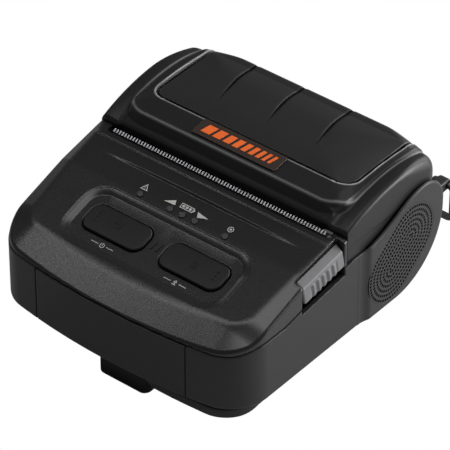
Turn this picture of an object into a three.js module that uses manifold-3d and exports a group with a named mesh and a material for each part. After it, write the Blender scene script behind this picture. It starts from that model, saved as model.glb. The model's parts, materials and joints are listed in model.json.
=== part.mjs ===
// Mobile receipt printer for 80 mm paper, in millimetres: +X right, +Y back, +Z up.
// The origin is the middle of the printer's box, on the surface that its belt clip stands on.
// Places are given as a setback from the front wall and a height above the bottom edge of the case.

import * as THREE from 'three';
import { mergeVertices } from 'three/addons/utils/BufferGeometryUtils.js';
import Module from 'manifold-3d';

const wasm = await Module();
wasm.setup();

// Clearances and counts shared by all the pieces
const fit = { seat: 0.3, slide: 0.4, running: 0.1, overrun: 6, weld: 0.4 };
const sides = { coarse: 12, round: 16, fine: 24, corner: 5, half: 6, bow: 10, arc: 12, curve: 10 };

// Case: the outer walls seen from above, and the base below them. The panel runs from the front wall
// to the tear bar, and the roll compartment from there to the back wall
const body = {
  halfWidth: 59.5, panelLength: 65.2, rollLength: 60.8, wall: 2.2, floor: 2.2, frontBow: 280,
  frontCorner: 14,
  rearCorner: 6,
};
const base = { thickness: 3.7, frontSetback: 5.5, sideInset: 2, corner: 12, frontBow: 600 };
const clip = {
  drop: 12.3, halfWidth: 12, plate: 3, tipSetback: 8.3, tipHeight: 9, tipThickness: 3.6, rearInset: 4.5,
  block: 20, corner: 3.5,
};

// Distance of each piece's end from the side wall of the case
const sideGap = {
  bevelRear: 3.7, bevelFront: 7.5, tear: 8, slotBlock: 6.1, releaseInner: 5.9, releaseCrest: 3.4,
  releaseFace: 0.3,
  notch: 7, lug: 8.1, cover: 0.2, coverCrease: 2.3, ridge: 6.1, apron: 14.5, crown: 32.5, shoulder: 12.5,
  window: 12.5, hingeLug: 8.9, barrel: 9.3, platen: 19.3, shaftRight: 11.6, shaftLeft: 6.5, bush: 17.9,
  gear: 10.9,
  chassis: 15.5, head: 18.7, spring: 29.5, hook: 13.3, latchLeft: 11.3, bucket: 18.3, board: 11.5,
  boardScrew: 17.5,
  baseScrew: 12.5, batterySeam: 23.3, recess: 20.5, key: 40.8, status: 39.1, keyBoard: 32.5, keyPost: 35.5,
};
const acrossFrom = (gap) => body.halfWidth - gap;

// Distance of each place from the tear bar, towards the front and towards the back
const beforeTear = {
  bend: 20.3, release: 23.4, notch: 21.7, seamButton: 21.2, chassisFront: 23.7, board: 24.8,
  chassisBack: 5.3, battery: 4.2,
};
const behindTear = {
  release: 0.6, latch: 1.8, panelSide: 2.1, lip: 3.1, notch: 5.2, seamRear: 6.8, ridge: 6.9, platen: 7.6,
  chassisRear: 11.8, frame: 12.4, label: 13.4, window: 19, shoulder: 19.2,
};

// Distance of each place from the back wall
const beforeBack = { drum: 47.7, rise: 31, crest: 26, shoulder: 21, crown: 25, groove: 29, hinge: 4 };
const caseLength = body.panelLength + body.rollLength;
const toFront = (gap) => body.panelLength - gap;
const toBack = (gap) => body.panelLength + gap;
const fromBack = (gap) => caseLength - gap;

// Screws through the base
const clipScrew = { spacing: 12, headRadius: 2.6, headHeight: 1.8, shankRadius: 1.3, bite: 2.4 };
const baseScrew = { frontInset: 10.5, rearInset: 8.8, headRadius: 2.6, headHeight: 1.4,
  shankRadius: 1.3 };

// Seam between the lower and upper case, as setback and height
const seam = {
  frontHeight: 24.5, frontEnd: 8, sideStart: 18, sideHeight: 26.7, sideEnd: 31.5,
  buttonSetback: toFront(beforeTear.seamButton), buttonHeight: 29, rearSetback: toBack(behindTear.seamRear),
  rearHeight: 33.5,
};

// Round drum ends of the case at the roll compartment, and the strap lugs behind them
const drum = {
  proud: 1.8, plate: 1.7, radius: 29.2, frontSetback: fromBack(beforeBack.drum), shoulderRadius: 13,
  neck: 2.3,
  riseSetback: fromBack(beforeBack.rise), riseHeight: 35.3, crestSetback: fromBack(beforeBack.crest),
  wall: 1.8,
  step: 0.4,
};
const lug = {
  reach: 11.5, innerX: acrossFrom(sideGap.lug), thickness: 5, height: 31.6, depth: 4.6, holeRadius: 1.6,
  root: 4,
};
const ring = { bar: 2, halfWidth: 6, drop: 17, corner: 3 };

// Upper case: the panel slopes up to the tear bar behind a rounded front edge
const panel = {
  inset: 0.5, wall: 2.2, creaseSetback: 11.5, creaseHeight: 31.4, slope: 0.3,
  bendSetback: toFront(beforeTear.bend),
  tearHeight: 45.2, edgeRise: 3.3, sideEnd: toBack(behindTear.panelSide),
};
const bevel = {
  rearX: acrossFrom(sideGap.bevelRear), rearHeight: 45.1, frontX: acrossFrom(sideGap.bevelFront),
  frontSetback: 18.6, frontHeight: 33.3, slope: 0.45,
};
const recess = { halfWidth: acrossFrom(sideGap.recess), halfDepth: 14, corner: 9.5, sink: 1.2,
  slopeWidth: 2.7,
  floor: 1.6, setback: 28.8 };
const key = {
  centreX: acrossFrom(sideGap.key), middleGap: 3.8, halfDepth: 6.6, corner: 4.6, proud: 1, flange: 0.9,
  flangeThickness: 1,
  round: 0.6, travel: 0.5, stemRadius: 1.4, setback: 29.15,
};
const lamp = { radius: 1.2, rowGap: 2.15, statusX: acrossFrom(sideGap.status), pitch: 5.9, proud: 0.1 };
const keyBoard = { depthBelow: 8, thickness: 1.2, halfWidth: acrossFrom(sideGap.keyBoard), frontReach: 15,
  rearReach: 20, post: 2.2, postX: acrossFrom(sideGap.keyPost) };
const keySwitch = { half: 3, height: 1.5, capHalf: 1.3, capHeight: 0.6 };

// Tear bar: a toothed strip along the front of the paper slot
const tear = { halfLength: acrossFrom(sideGap.tear), thickness: 0.8, height: 4.2, pitch: 1.35,
  toothHeight: 1, proud: 0.4 };
const slotBlock = { length: 4, depth: 2.4, height: 1.6, halfSpan: acrossFrom(sideGap.slotBlock) };

// Release button and the opening that it sits in
const release = {
  frontSetback: toFront(beforeTear.release), rearSetback: toBack(behindTear.release), proud: 0.9,
  innerX: acrossFrom(sideGap.releaseInner), crestX: acrossFrom(sideGap.releaseCrest),
  faceX: acrossFrom(sideGap.releaseFace),
  frontCrest: 39.6, rearCrest: 43.4, facetDrop: 2.2, faceDrop: 8.4, shelfDrop: 2, corner: 1.6, flange: 0.9,
  ribPitch: 3, ribRadius: 0.9, ribCount: 4,
};
const notch = {
  frontSetback: toFront(beforeTear.notch), rearSetback: toBack(behindTear.notch), frontHeight: 27,
  rearHeight: 30,
  innerX: acrossFrom(sideGap.notch),
};
const releaseOuterX = body.halfWidth + release.proud;

// Cover over the roll, with its raised ridge, window panel and label plate
const cover = {
  halfWidth: acrossFrom(sideGap.cover), wall: 2, lipSetback: toBack(behindTear.lip), lipHeight: 46.4,
  lipThickness: 2.6, creaseX: acrossFrom(sideGap.coverCrease), creaseDrop: 2.6, frontHeight: 46.8,
  midSetback: toBack(behindTear.shoulder), midHeight: 50.2, farSetback: fromBack(beforeBack.shoulder),
  farHeight: 53.4, rearRadius: 9, rearTop: 54.2, rearCorner: 16, rearEdge: 34.4, skirt: 33.9,
};
const ridge = {
  halfWidth: acrossFrom(sideGap.ridge), corner: 11, frontSetback: toBack(behindTear.ridge), baseHeight: 51,
  edgeHeight: 53.4, apronHalfWidth: acrossFrom(sideGap.apron), crownSetback: fromBack(beforeBack.crown),
  crownHeight: 56.1, flatHalfWidth: acrossFrom(sideGap.crown), crownDrop: 1.7,
  shoulderX: acrossFrom(sideGap.shoulder), sideDrop: 4.4,
};
const windowPanel = {
  halfWidth: acrossFrom(sideGap.window), corner: 6, frontSetback: toBack(behindTear.window), thickness: 1.4,
  sink: 0.5, rearHeight: 40, gap: 0.3, grooveWidth: 0.7, grooveDepth: 0.5,
  grooveSetback: fromBack(beforeBack.groove), panes: 4,
};
const label = { halfWidth: 20, halfDepth: 4.3, corner: 1, thickness: 0.9, proud: 0.35,
  setback: toBack(behindTear.label) };

// Cover hinge at the rear edge
const hinge = {
  setback: fromBack(beforeBack.hinge), height: 33.2, barrelRadius: 3.6,
  barrelHalfLength: acrossFrom(sideGap.barrel), lugX: acrossFrom(sideGap.hingeLug), lugThickness: 4,
  lugRadius: 3.4, pinRadius: 1.5, pinInset: 6, sweep: 4.8, lugClear: 0.6,
};

// Printing mechanism: platen on the cover, head, chassis and gear train in the case
const platen = {
  setback: toBack(behindTear.platen), height: 37.7, radius: 4.5, halfLength: acrossFrom(sideGap.platen),
  shaftRadius: 2.5, endRadius: 2, rightEnd: acrossFrom(sideGap.shaftRight),
  leftEnd: acrossFrom(sideGap.shaftLeft),
};
const bush = { innerX: acrossFrom(sideGap.bush), thickness: 2, radius: 3.2 };
const coverFrame = { armRadius: 4.6, beamSetback: toBack(behindTear.frame), beamDepth: 5, beamBottom: 41,
  beamTop: 45.6, halfLength: bush.innerX + bush.thickness };
const gear = { module: 0.5, platenTeeth: 24, idlerTeeth: 30, pinionTeeth: 12,
  innerX: acrossFrom(sideGap.gear), width: 3.6,
  toothShare: 0.3, backlash: 0.12, angle: Math.PI * 1.23, pinionAngle: Math.PI * 0.95 };
const idler = { bore: 1.4, axleRadius: 1.1, axleHead: 2.2, headThickness: 0.8 };
const motor = { radius: 6.8, length: 13, shaftRadius: 0.75, bore: 1, flange: 1 };
const chassis = {
  plate: 1.2, innerX: acrossFrom(sideGap.chassis), backSetback: toFront(beforeTear.chassisBack),
  rearSetback: toBack(behindTear.chassisRear), bottom: 21.6, top: 39.2, sideTop: 40.2,
  frontTop: 35.6, notchFront: 2.5, notchRear: 4.2,
  frontSetback: toFront(beforeTear.chassisFront),
};
const head = { halfLength: acrossFrom(sideGap.head), bottom: 31.8, top: 40.2, thickness: 3,
  lineProud: 0.2 };
const holder = { thickness: 1.3, bottom: 30.8, top: 39.6 };
const leafSpring = { thickness: 0.4, height: 4, halfLength: acrossFrom(sideGap.spring) };
const latch = {
  setback: toBack(behindTear.latch), height: 28.6, shaftRadius: 1.4, hookX: acrossFrom(sideGap.hook),
  hookThickness: 1.5, hookTop: 40.2,
  hookHalf: 2.4, eyeRadius: 3, leverThickness: 1.8, leverLength: 7,
  leftEnd: acrossFrom(sideGap.latchLeft),
};

// Roll compartment
const bucket = { frontGap: 4.4, rearGap: 9.6, thickness: 1.4, halfLength: acrossFrom(sideGap.bucket),
  cheek: 1.4,
  frontAngle: 178, rearAngle: 352 };
const bucketRadius = (body.rollLength - bucket.frontGap - bucket.rearGap) / 2 - bucket.thickness;
const sensor = { halfWidth: 3, depth: 5, height: 2.6, x: 14, latchGap: 2.7 };

// Battery pack, its bay and its latch
const battery = {
  bayGap: 1, depth: toFront(beforeTear.battery), height: 17, panelGap: 0.3, panelDepth: 5,
  seamX: acrossFrom(sideGap.batterySeam),
  bayWall: 1.5, wallHeight: 17.8,
};
const batteryLatch = { halfWidth: 7, length: 9, setback: 22, proud: 1.6, slot: 16 };
const terminal = { depth: 4, halfWidth: 9, height: 8 };

// Electronics
const board = { halfWidth: acrossFrom(sideGap.board), frontSetback: 9.5,
  rearSetback: toFront(beforeTear.board), height: 20.2,
  thickness: 1.6, screwX: acrossFrom(sideGap.boardScrew), screwInset: 4 };
const boardScrew = { headRadius: 2, headHeight: 1.2, shankRadius: 1, postRadius: 3 };
const socket = { usbWidth: 8, usbHeight: 3, jackWidth: 9, jackHeight: 8, depth: 9, gap: 3,
  centreSetback: 33, height: 14.5, sideGap: 1.2, tray: 1.2 };
const flap = { length: 27, height: 12, thickness: 1.6, pivotRadius: 0.8 };

// Reference planes and axes worked out from the sizes
const caseBottom = clip.drop + base.thickness + fit.seat;
const frontY = -(caseLength + lug.reach) / 2;
const at = (setback) => frontY + setback;
const up = (height) => caseBottom + height;
const rearY = at(caseLength);
const drumHalfWidth = body.halfWidth + drum.proud;
const shoulderHeight = drum.radius + drum.neck;
const lampSetback = recess.setback + recess.halfDepth + lamp.rowGap;
const keyHalfWidth = key.centreX - key.middleGap;
const batteryHalfWidth = battery.seamX - battery.bayGap;
const baseRearY = at(caseLength - drum.radius);
const panelAngle = Math.atan(panel.slope);
const bendHeight = panel.creaseHeight + panel.slope * (panel.bendSetback - panel.creaseSetback);
const hingeAxis = { y: at(hinge.setback), z: up(hinge.height) };
const platenAxis = { y: at(platen.setback), z: up(platen.height) };
const latchAxis = { y: at(latch.setback), z: up(latch.height) };
const drumAxis = { y: at(caseLength - drum.radius), z: up(drum.radius) };
const bucketAxis = {
  y: at(toBack(bucket.frontGap + bucket.thickness)) + bucketRadius,
  z: up(body.floor + fit.seat + bucketRadius + bucket.thickness),
};
const pitchRadius = (teeth) => teeth * gear.module / 2;
const polar = (centre, radius, angle) => ({
  y: centre.y + radius * Math.cos(angle),
  z: centre.z + radius * Math.sin(angle),
});
const idlerAxis = polar(platenAxis, pitchRadius(gear.platenTeeth + gear.idlerTeeth), gear.angle);
const motorAxis = polar(idlerAxis, pitchRadius(gear.idlerTeeth + gear.pinionTeeth), gear.pinionAngle);

// Surface finishes
const finish = (color, roughness, metalness) => new THREE.MeshStandardMaterial({ color, roughness,
  metalness });
const finishes = {
  blackPlastic: finish(0x1b1b1c, 0.6, 0),
  sidePlastic: finish(0x242425, 0.55, 0),
  coverPlastic: finish(0x161617, 0.5, 0),
  windowPlastic: finish(0x1f1f20, 0.45, 0),
  keyRubber: finish(0x19191a, 0.5, 0),
  greyPlastic: finish(0x6f7072, 0.5, 0),
  lampPlastic: finish(0x57585a, 0.35, 0),
  basePlastic: finish(0x0d0d0e, 0.7, 0),
  labelOrange: finish(0xd8622a, 0.5, 0),
  steel: finish(0xa9abad, 0.35, 0.9),
  darkSteel: finish(0x4c4e51, 0.45, 0.8),
  rubber: finish(0x2c2b2a, 0.85, 0),
  boardGreen: finish(0x1f5a3a, 0.55, 0),
  innerPlastic: finish(0x3a3b3d, 0.6, 0),
  ivoryPlastic: finish(0xc9c5b6, 0.5, 0),
};

// Turning three.js geometry into solids that can be joined and cut
function solid(geometry) {
  const bare = geometry.index ? geometry.toNonIndexed() : geometry.clone();
  bare.deleteAttribute('normal');
  bare.deleteAttribute('uv');
  const merged = mergeVertices(bare);
  const vertProperties = new Float32Array(merged.attributes.position.array);
  const triVerts = new Uint32Array(merged.index.array);
  return new wasm.Manifold(new wasm.Mesh({ numProp: 3, vertProperties, triVerts }));
}

function join(...solids) {
  return solids.reduce((sum, next) => sum.add(next));
}

function cut(stock, ...tools) {
  return tools.reduce((left, tool) => left.subtract(tool), stock);
}

function placed(geometry, matrix) {
  return solid(geometry.clone().applyMatrix4(matrix));
}

// Prisms: an outline drawn along one axis
function basis(xAxis, yAxis, zAxis, origin) {
  const matrix = new THREE.Matrix4().makeBasis(
    new THREE.Vector3(...xAxis), new THREE.Vector3(...yAxis), new THREE.Vector3(...zAxis));
  return matrix.setPosition(...origin);
}

function prism(points, depth, options = {}) {
  const outline = new THREE.Shape(points.map(([u, v]) => new THREE.Vector2(u, v)));
  return new THREE.ExtrudeGeometry(outline, { depth, bevelEnabled: false, steps: 1, ...options });
}

const alongX = (points, x0, x1) =>
  placed(prism(points, x1 - x0), basis([0, 1, 0], [0, 0, 1], [1, 0, 0], [x0, 0, 0]));
const alongY = (points, y0, y1) =>
  placed(prism(points, y1 - y0), basis([1, 0, 0], [0, 0, 1], [0, -1, 0], [0, y1, 0]));
const alongZ = (points, z0, z1) =>
  placed(prism(points, z1 - z0), basis([1, 0, 0], [0, 1, 0], [0, 0, 1], [0, 0, z0]));

function box(x0, x1, y0, y1, z0, z1) {
  const geometry = new THREE.BoxGeometry(x1 - x0, y1 - y0, z1 - z0);
  return placed(geometry, new THREE.Matrix4().makeTranslation((x0 + x1) / 2, (y0 + y1) / 2, (z0 + z1) / 2));
}

const mirrored = (side, near, far) => (side > 0 ? [near, far] : [-far, -near]);

function discX(centre, radius, x0, x1, segments = sides.round) {
  return alongX(arc(centre.y, centre.z, radius, 0, 2 * Math.PI, segments).slice(1), x0, x1);
}

function discZ(x, y, radius, z0, z1, segments = sides.round) {
  return alongZ(arc(x, y, radius, 0, 2 * Math.PI, segments).slice(1), z0, z1);
}

// Outlines
function arc(u, v, radius, from, to, steps) {
  return Array.from({ length: steps + 1 }, (_, i) => {
    const angle = from + (to - from) * i / steps;
    return [u + radius * Math.cos(angle), v + radius * Math.sin(angle)];
  });
}

function roundedRect(u0, u1, v0, v1, radius, steps = sides.corner) {
  const quarter = Math.PI / 2;
  return [
    ...arc(u1 - radius, v0 + radius, radius, -quarter, 0, steps),
    ...arc(u1 - radius, v1 - radius, radius, 0, quarter, steps),
    ...arc(u0 + radius, v1 - radius, radius, quarter, 2 * quarter, steps),
    ...arc(u0 + radius, v0 + radius, radius, 2 * quarter, 3 * quarter, steps),
  ];
}

function bezier(points, steps = sides.curve) {
  const vectors = points.map(([u, v]) => new THREE.Vector2(u, v));
  const curve = vectors.length === 4 ? new THREE.CubicBezierCurve(...vectors)
    : new THREE.QuadraticBezierCurve(...vectors);
  return curve.getPoints(steps).map((point) => [point.x, point.y]);
}

// The case from above: a bowed front, round front corners and a square back, all drawn in by inset
function footprint(inset, halfWidth, front, rear, frontCorner, rearCorner, bow) {
  const cornerX = halfWidth - frontCorner;
  const bowY = front + bow;
  const cornerY = bowY - Math.sqrt((bow - frontCorner) ** 2 - cornerX ** 2);
  const turn = Math.atan2(cornerX, bowY - cornerY);
  const quarter = Math.PI / 2;
  const backRadius = Math.max(rearCorner - inset, fit.weld);
  const backX = halfWidth - inset - backRadius;
  const backY = rear - inset - backRadius;
  const bowLine = arc(0, bowY, bow - inset, -quarter - turn, -quarter + turn, sides.bow);
  const rightEnd = arc(cornerX, cornerY, frontCorner - inset, -quarter + turn, 0, sides.corner);
  const leftEnd = arc(-cornerX, cornerY, frontCorner - inset, 2 * quarter, 3 * quarter - turn, sides.corner);
  return [
    ...bowLine,
    ...rightEnd.slice(1),
    ...arc(backX, backY, backRadius, 0, quarter, sides.corner),
    ...arc(-backX, backY, backRadius, quarter, 2 * quarter, sides.corner),
    ...leftEnd.slice(0, -1),
  ];
}

const caseOutline = (inset) =>
  footprint(inset, body.halfWidth, frontY, rearY, body.frontCorner, body.rearCorner, body.frontBow);

// Seam profile seen from the side, raised by lift
function seamLine(lift = 0) {
  return [
    [at(-fit.overrun), up(seam.frontHeight + lift)],
    [at(seam.frontEnd), up(seam.frontHeight + lift)],
    [at(seam.sideStart), up(seam.sideHeight + lift)],
    [at(seam.sideEnd), up(seam.sideHeight + lift)],
    [at(seam.buttonSetback), up(seam.buttonHeight + lift)],
    [at(seam.rearSetback), up(seam.rearHeight + lift)],
  ];
}

// The drum end seen from the side, drawn in by inset
function drumOutline(inset) {
  const quarter = Math.PI / 2;
  const shoulderY = rearY - drum.shoulderRadius;
  const crest = up(shoulderHeight) + drum.shoulderRadius;
  const front = at(drum.frontSetback) + inset;
  const rise = bezier([
    [shoulderY, crest - inset],
    [at(drum.crestSetback), crest - inset],
    [at(drum.riseSetback), up(drum.riseHeight) - inset],
    [at(seam.rearSetback), up(seam.rearHeight) - inset],
  ]).filter(([y]) => y > front);
  return [
    [front, caseBottom + inset],
    ...arc(drumAxis.y, drumAxis.z, drum.radius - inset, -quarter, 0, sides.arc),
    ...arc(shoulderY, up(shoulderHeight), drum.shoulderRadius - inset, 0, quarter, sides.corner),
    ...rise.slice(1),
    [front, rise[rise.length - 1][1]],
  ];
}

// The scene graph that collects the pieces
const printer = new THREE.Group();

function add(name, material, manifold, parent = printer) {
  const { vertProperties, triVerts, numProp } = manifold.getMesh();
  const geometry = new THREE.BufferGeometry();
  const positions = new Float32Array(triVerts.length * 3);
  triVerts.forEach((vertex, i) => {
    for (let k = 0; k < 3; k += 1) positions[3 * i + k] = vertProperties[numProp * vertex + k];
  });
  geometry.setAttribute('position', new THREE.BufferAttribute(positions, 3));
  const merged = mergeVertices(geometry);
  merged.computeVertexNormals();
  const mesh = new THREE.Mesh(merged, material);
  mesh.name = name;
  parent.add(mesh);
  return mesh;
}

// Lower case: tray, drum ends, battery bay, hinge lugs and strap lugs
function lowerCase() {
  const deck = up(seam.rearHeight) - fit.weld;
  const shape = [
    [at(-fit.overrun), caseBottom],
    ...arc(drumAxis.y, drumAxis.z, drum.radius - drum.step, -Math.PI / 2, 0, sides.arc)
      .map(([y, z], i) => (i ? [y, z] : [y, caseBottom])),
    [rearY - drum.step, deck], ...seamLine().reverse(),
  ];
  const outer = alongZ(caseOutline(0), caseBottom, up(shoulderHeight + drum.shoulderRadius))
    .intersect(alongX(shape, -drumHalfWidth, drumHalfWidth));
  const innerX = drumHalfWidth - drum.plate;
  const ends = [1, -1].map((side) => alongX(drumOutline(0), ...mirrored(side, innerX - fit.weld,
    drumHalfWidth)));
  const inside = [
    [at(0), up(body.floor)],
    ...arc(drumAxis.y, drumAxis.z, drum.radius - drum.wall, -Math.PI / 2, 0, sides.arc)
      .map(([y, z]) => [y, Math.max(z, up(body.floor))]),
    [rearY - drum.wall, up(seam.rearHeight + fit.overrun)], [at(0), up(seam.rearHeight + fit.overrun)],
  ];
  const front = alongZ(caseOutline(body.wall), up(body.floor), up(seam.rearHeight + fit.overrun))
    .intersect(alongX(inside, -drumHalfWidth, drumHalfWidth));
  const pocket = alongX([
    ...drumOutline(drum.wall).slice(0, sides.arc + 2),
    [rearY - drum.wall, up(shoulderHeight + drum.shoulderRadius) + fit.overrun],
    [at(drum.frontSetback) + drum.wall, up(shoulderHeight + drum.shoulderRadius) + fit.overrun],
  ], -innerX, innerX);
  const above = up(shoulderHeight + drum.shoulderRadius) + fit.overrun;
  const openBack = box(-innerX, innerX, hingeAxis.y, rearY + fit.overrun, hingeAxis.z, above);
  const aboveDeck = box(-innerX, innerX, at(drum.frontSetback) - fit.overrun, rearY + fit.overrun,
    up(seam.rearHeight), above);
  const sweep = discX(hingeAxis, hinge.sweep, -innerX, innerX, sides.fine);
  let shell = cut(join(outer, ...ends), front, pocket, openBack, aboveDeck, sweep);
  shell = cut(shell,
    box(-battery.seamX, battery.seamX, at(-fit.overrun), at(battery.panelDepth + fit.slide),
      caseBottom - fit.overrun,
      up(seam.frontHeight + fit.overrun)),
    releaseNotch(), portOpening(), batterySlot());
  const bay = [1, -1].map((side) => {
    const [x0, x1] = mirrored(side, battery.seamX, battery.seamX + battery.bayWall);
    return box(x0, x1, at(battery.panelDepth - body.wall / 2), at(battery.depth + body.wall),
      up(body.floor - fit.weld),
      up(battery.wallHeight));
  });
  const posts = boardScrewPlaces().map(([x, y]) => {
    const post = discZ(x, y, boardScrew.postRadius, up(body.floor - fit.weld), up(board.height) - fit.seat);
    return cut(post, discZ(x, y, boardScrew.shankRadius + fit.seat, up(board.height - fit.overrun),
      up(board.height), sides.coarse));
  });
  return cut(join(shell, ...bay, ...posts, ...hingeLugs(), ...strapLugs()), ...pinBores());
}

// Wedge-shaped gap in the right wall below the release button
function releaseNotch() {
  const top = up(seam.rearHeight + fit.overrun);
  return alongX([
    [at(notch.frontSetback), up(notch.frontHeight)], [at(notch.rearSetback), up(notch.rearHeight)],
    [at(notch.rearSetback), top], [at(notch.frontSetback), top],
  ], notch.innerX, drumHalfWidth + fit.overrun);
}

// Hinge lugs: two eyes in line with the cover's barrel, on arms from the back wall
function hingeLugs() {
  return [1, -1].map((side) => {
    const [x0, x1] = mirrored(side, hinge.lugX, hinge.lugX + hinge.lugThickness);
    const foot = hingeAxis.z - hinge.sweep - drum.wall;
    const arm = box(x0, x1, hingeAxis.y - hinge.lugRadius, rearY - drum.wall + fit.weld, foot, hingeAxis.z);
    return join(discX(hingeAxis, hinge.lugRadius, x0, x1), arm);
  });
}

function pinBores() {
  return [1, -1].map((side) => {
    const [x0, x1] = mirrored(side, hinge.lugX - fit.overrun, hinge.lugX + hinge.lugThickness + fit.seat);
    return discX(hingeAxis, hinge.pinRadius + fit.running, x0, x1);
  });
}

// Strap lugs: a block with a hole through it at each rear corner
function strapLugs() {
  return [1, -1].map((side) => {
    const [x0, x1] = mirrored(side, lug.innerX, lug.innerX + lug.thickness);
    const top = up(lug.height);
    const arm = alongX([
      [rearY - drum.wall, top - lug.depth - lug.root], [rearY, top - lug.depth - lug.root],
      [rearY + lug.reach - lug.depth, top - lug.depth],
      ...arc(rearY + lug.reach - lug.depth / 2, top - lug.depth / 2, lug.depth / 2, -Math.PI / 2,
        Math.PI / 2,
        sides.half),
      [rearY - drum.wall, top],
    ], x0, x1);
    const hole = discX(ringAxis, lug.holeRadius, x0 - fit.overrun, x1 + fit.overrun, sides.coarse);
    return cut(arm, hole);
  });
}

const ringAxis = { y: rearY + lug.reach - lug.depth / 2, z: up(lug.height) - lug.depth / 2 };

// Strap ring: a flat rounded loop hanging through the lug
function strapRing(side) {
  const middleX = side * (lug.innerX + lug.thickness / 2);
  const loop = (inset) => roundedRect(middleX - ring.halfWidth + inset, middleX + ring.halfWidth - inset,
    ringAxis.z + ring.bar / 2 - ring.drop + inset, ringAxis.z + ring.bar / 2 - inset, ring.corner - inset,
      3);
  const y0 = ringAxis.y - ring.bar / 2;
  const y1 = ringAxis.y + ring.bar / 2;
  return cut(alongY(loop(0), y0, y1), alongY(loop(ring.bar), y0 - fit.overrun, y1 + fit.overrun));
}

// Upper case: sloped panel with rounded front, side bevels, key recess and openings
function panelTop(drop) {
  const edge = at(panel.inset);
  const crease = [at(panel.creaseSetback), up(panel.creaseHeight) - drop];
  const corner = [edge, crease[1] - panel.slope * (crease[0] - edge)];
  return [
    ...bezier([[edge, up(panel.creaseHeight - panel.edgeRise * 2) - drop], corner, crease], sides.corner),
    [at(panel.bendSetback), up(bendHeight) - drop],
    [at(body.panelLength), up(panel.tearHeight) - drop],
    [at(panel.sideEnd), up(panel.tearHeight) - drop],
  ];
}

function sideBevel(side) {
  const rear = new THREE.Vector3(side * bevel.rearX, at(body.panelLength), up(bevel.rearHeight));
  const front = new THREE.Vector3(side * bevel.frontX, at(bevel.frontSetback), up(bevel.frontHeight));
  const along = side > 0 ? front.clone().sub(rear) : rear.clone().sub(front);
  const start = (side > 0 ? rear : front).clone().addScaledVector(along, -1);
  const zAxis = along.clone().normalize();
  const yAxis = new THREE.Vector3(0, 0, 1).addScaledVector(zAxis, -zAxis.z).normalize();
  const xAxis = yAxis.clone().cross(zAxis);
  const reach = body.halfWidth;
  const outline = [[0, 0], [reach, -reach * bevel.slope], [reach, reach], [0, reach]];
  const matrix = new THREE.Matrix4().makeBasis(xAxis, yAxis, zAxis).setPosition(start);
  return placed(prism(outline, along.length() * 3), matrix);
}

// The panel's own frame: u along X, v up the slope, w out of the panel
function panelFrame(setback) {
  const rise = panel.creaseHeight + panel.slope * (setback - panel.creaseSetback);
  return new THREE.Matrix4().makeRotationX(panelAngle).setPosition(0, at(setback), up(rise));
}

function onPanel(points, w0, w1, setback, options) {
  const shift = new THREE.Matrix4().makeTranslation(0, 0, w0);
  return placed(prism(points, w1 - w0, options), panelFrame(setback).multiply(shift));
}

const keyOutline = (side, grow) => roundedRect(
  side * key.centreX - keyHalfWidth - grow, side * key.centreX + keyHalfWidth + grow,
  -key.halfDepth - grow, key.halfDepth + grow, key.corner + grow);

const lampPlaces = [
  ['led_error', -lamp.statusX], ['led_battery_1', -lamp.pitch], ['led_battery_2', 0],
  ['led_battery_3', lamp.pitch], ['led_status', lamp.statusX],
];

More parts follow.
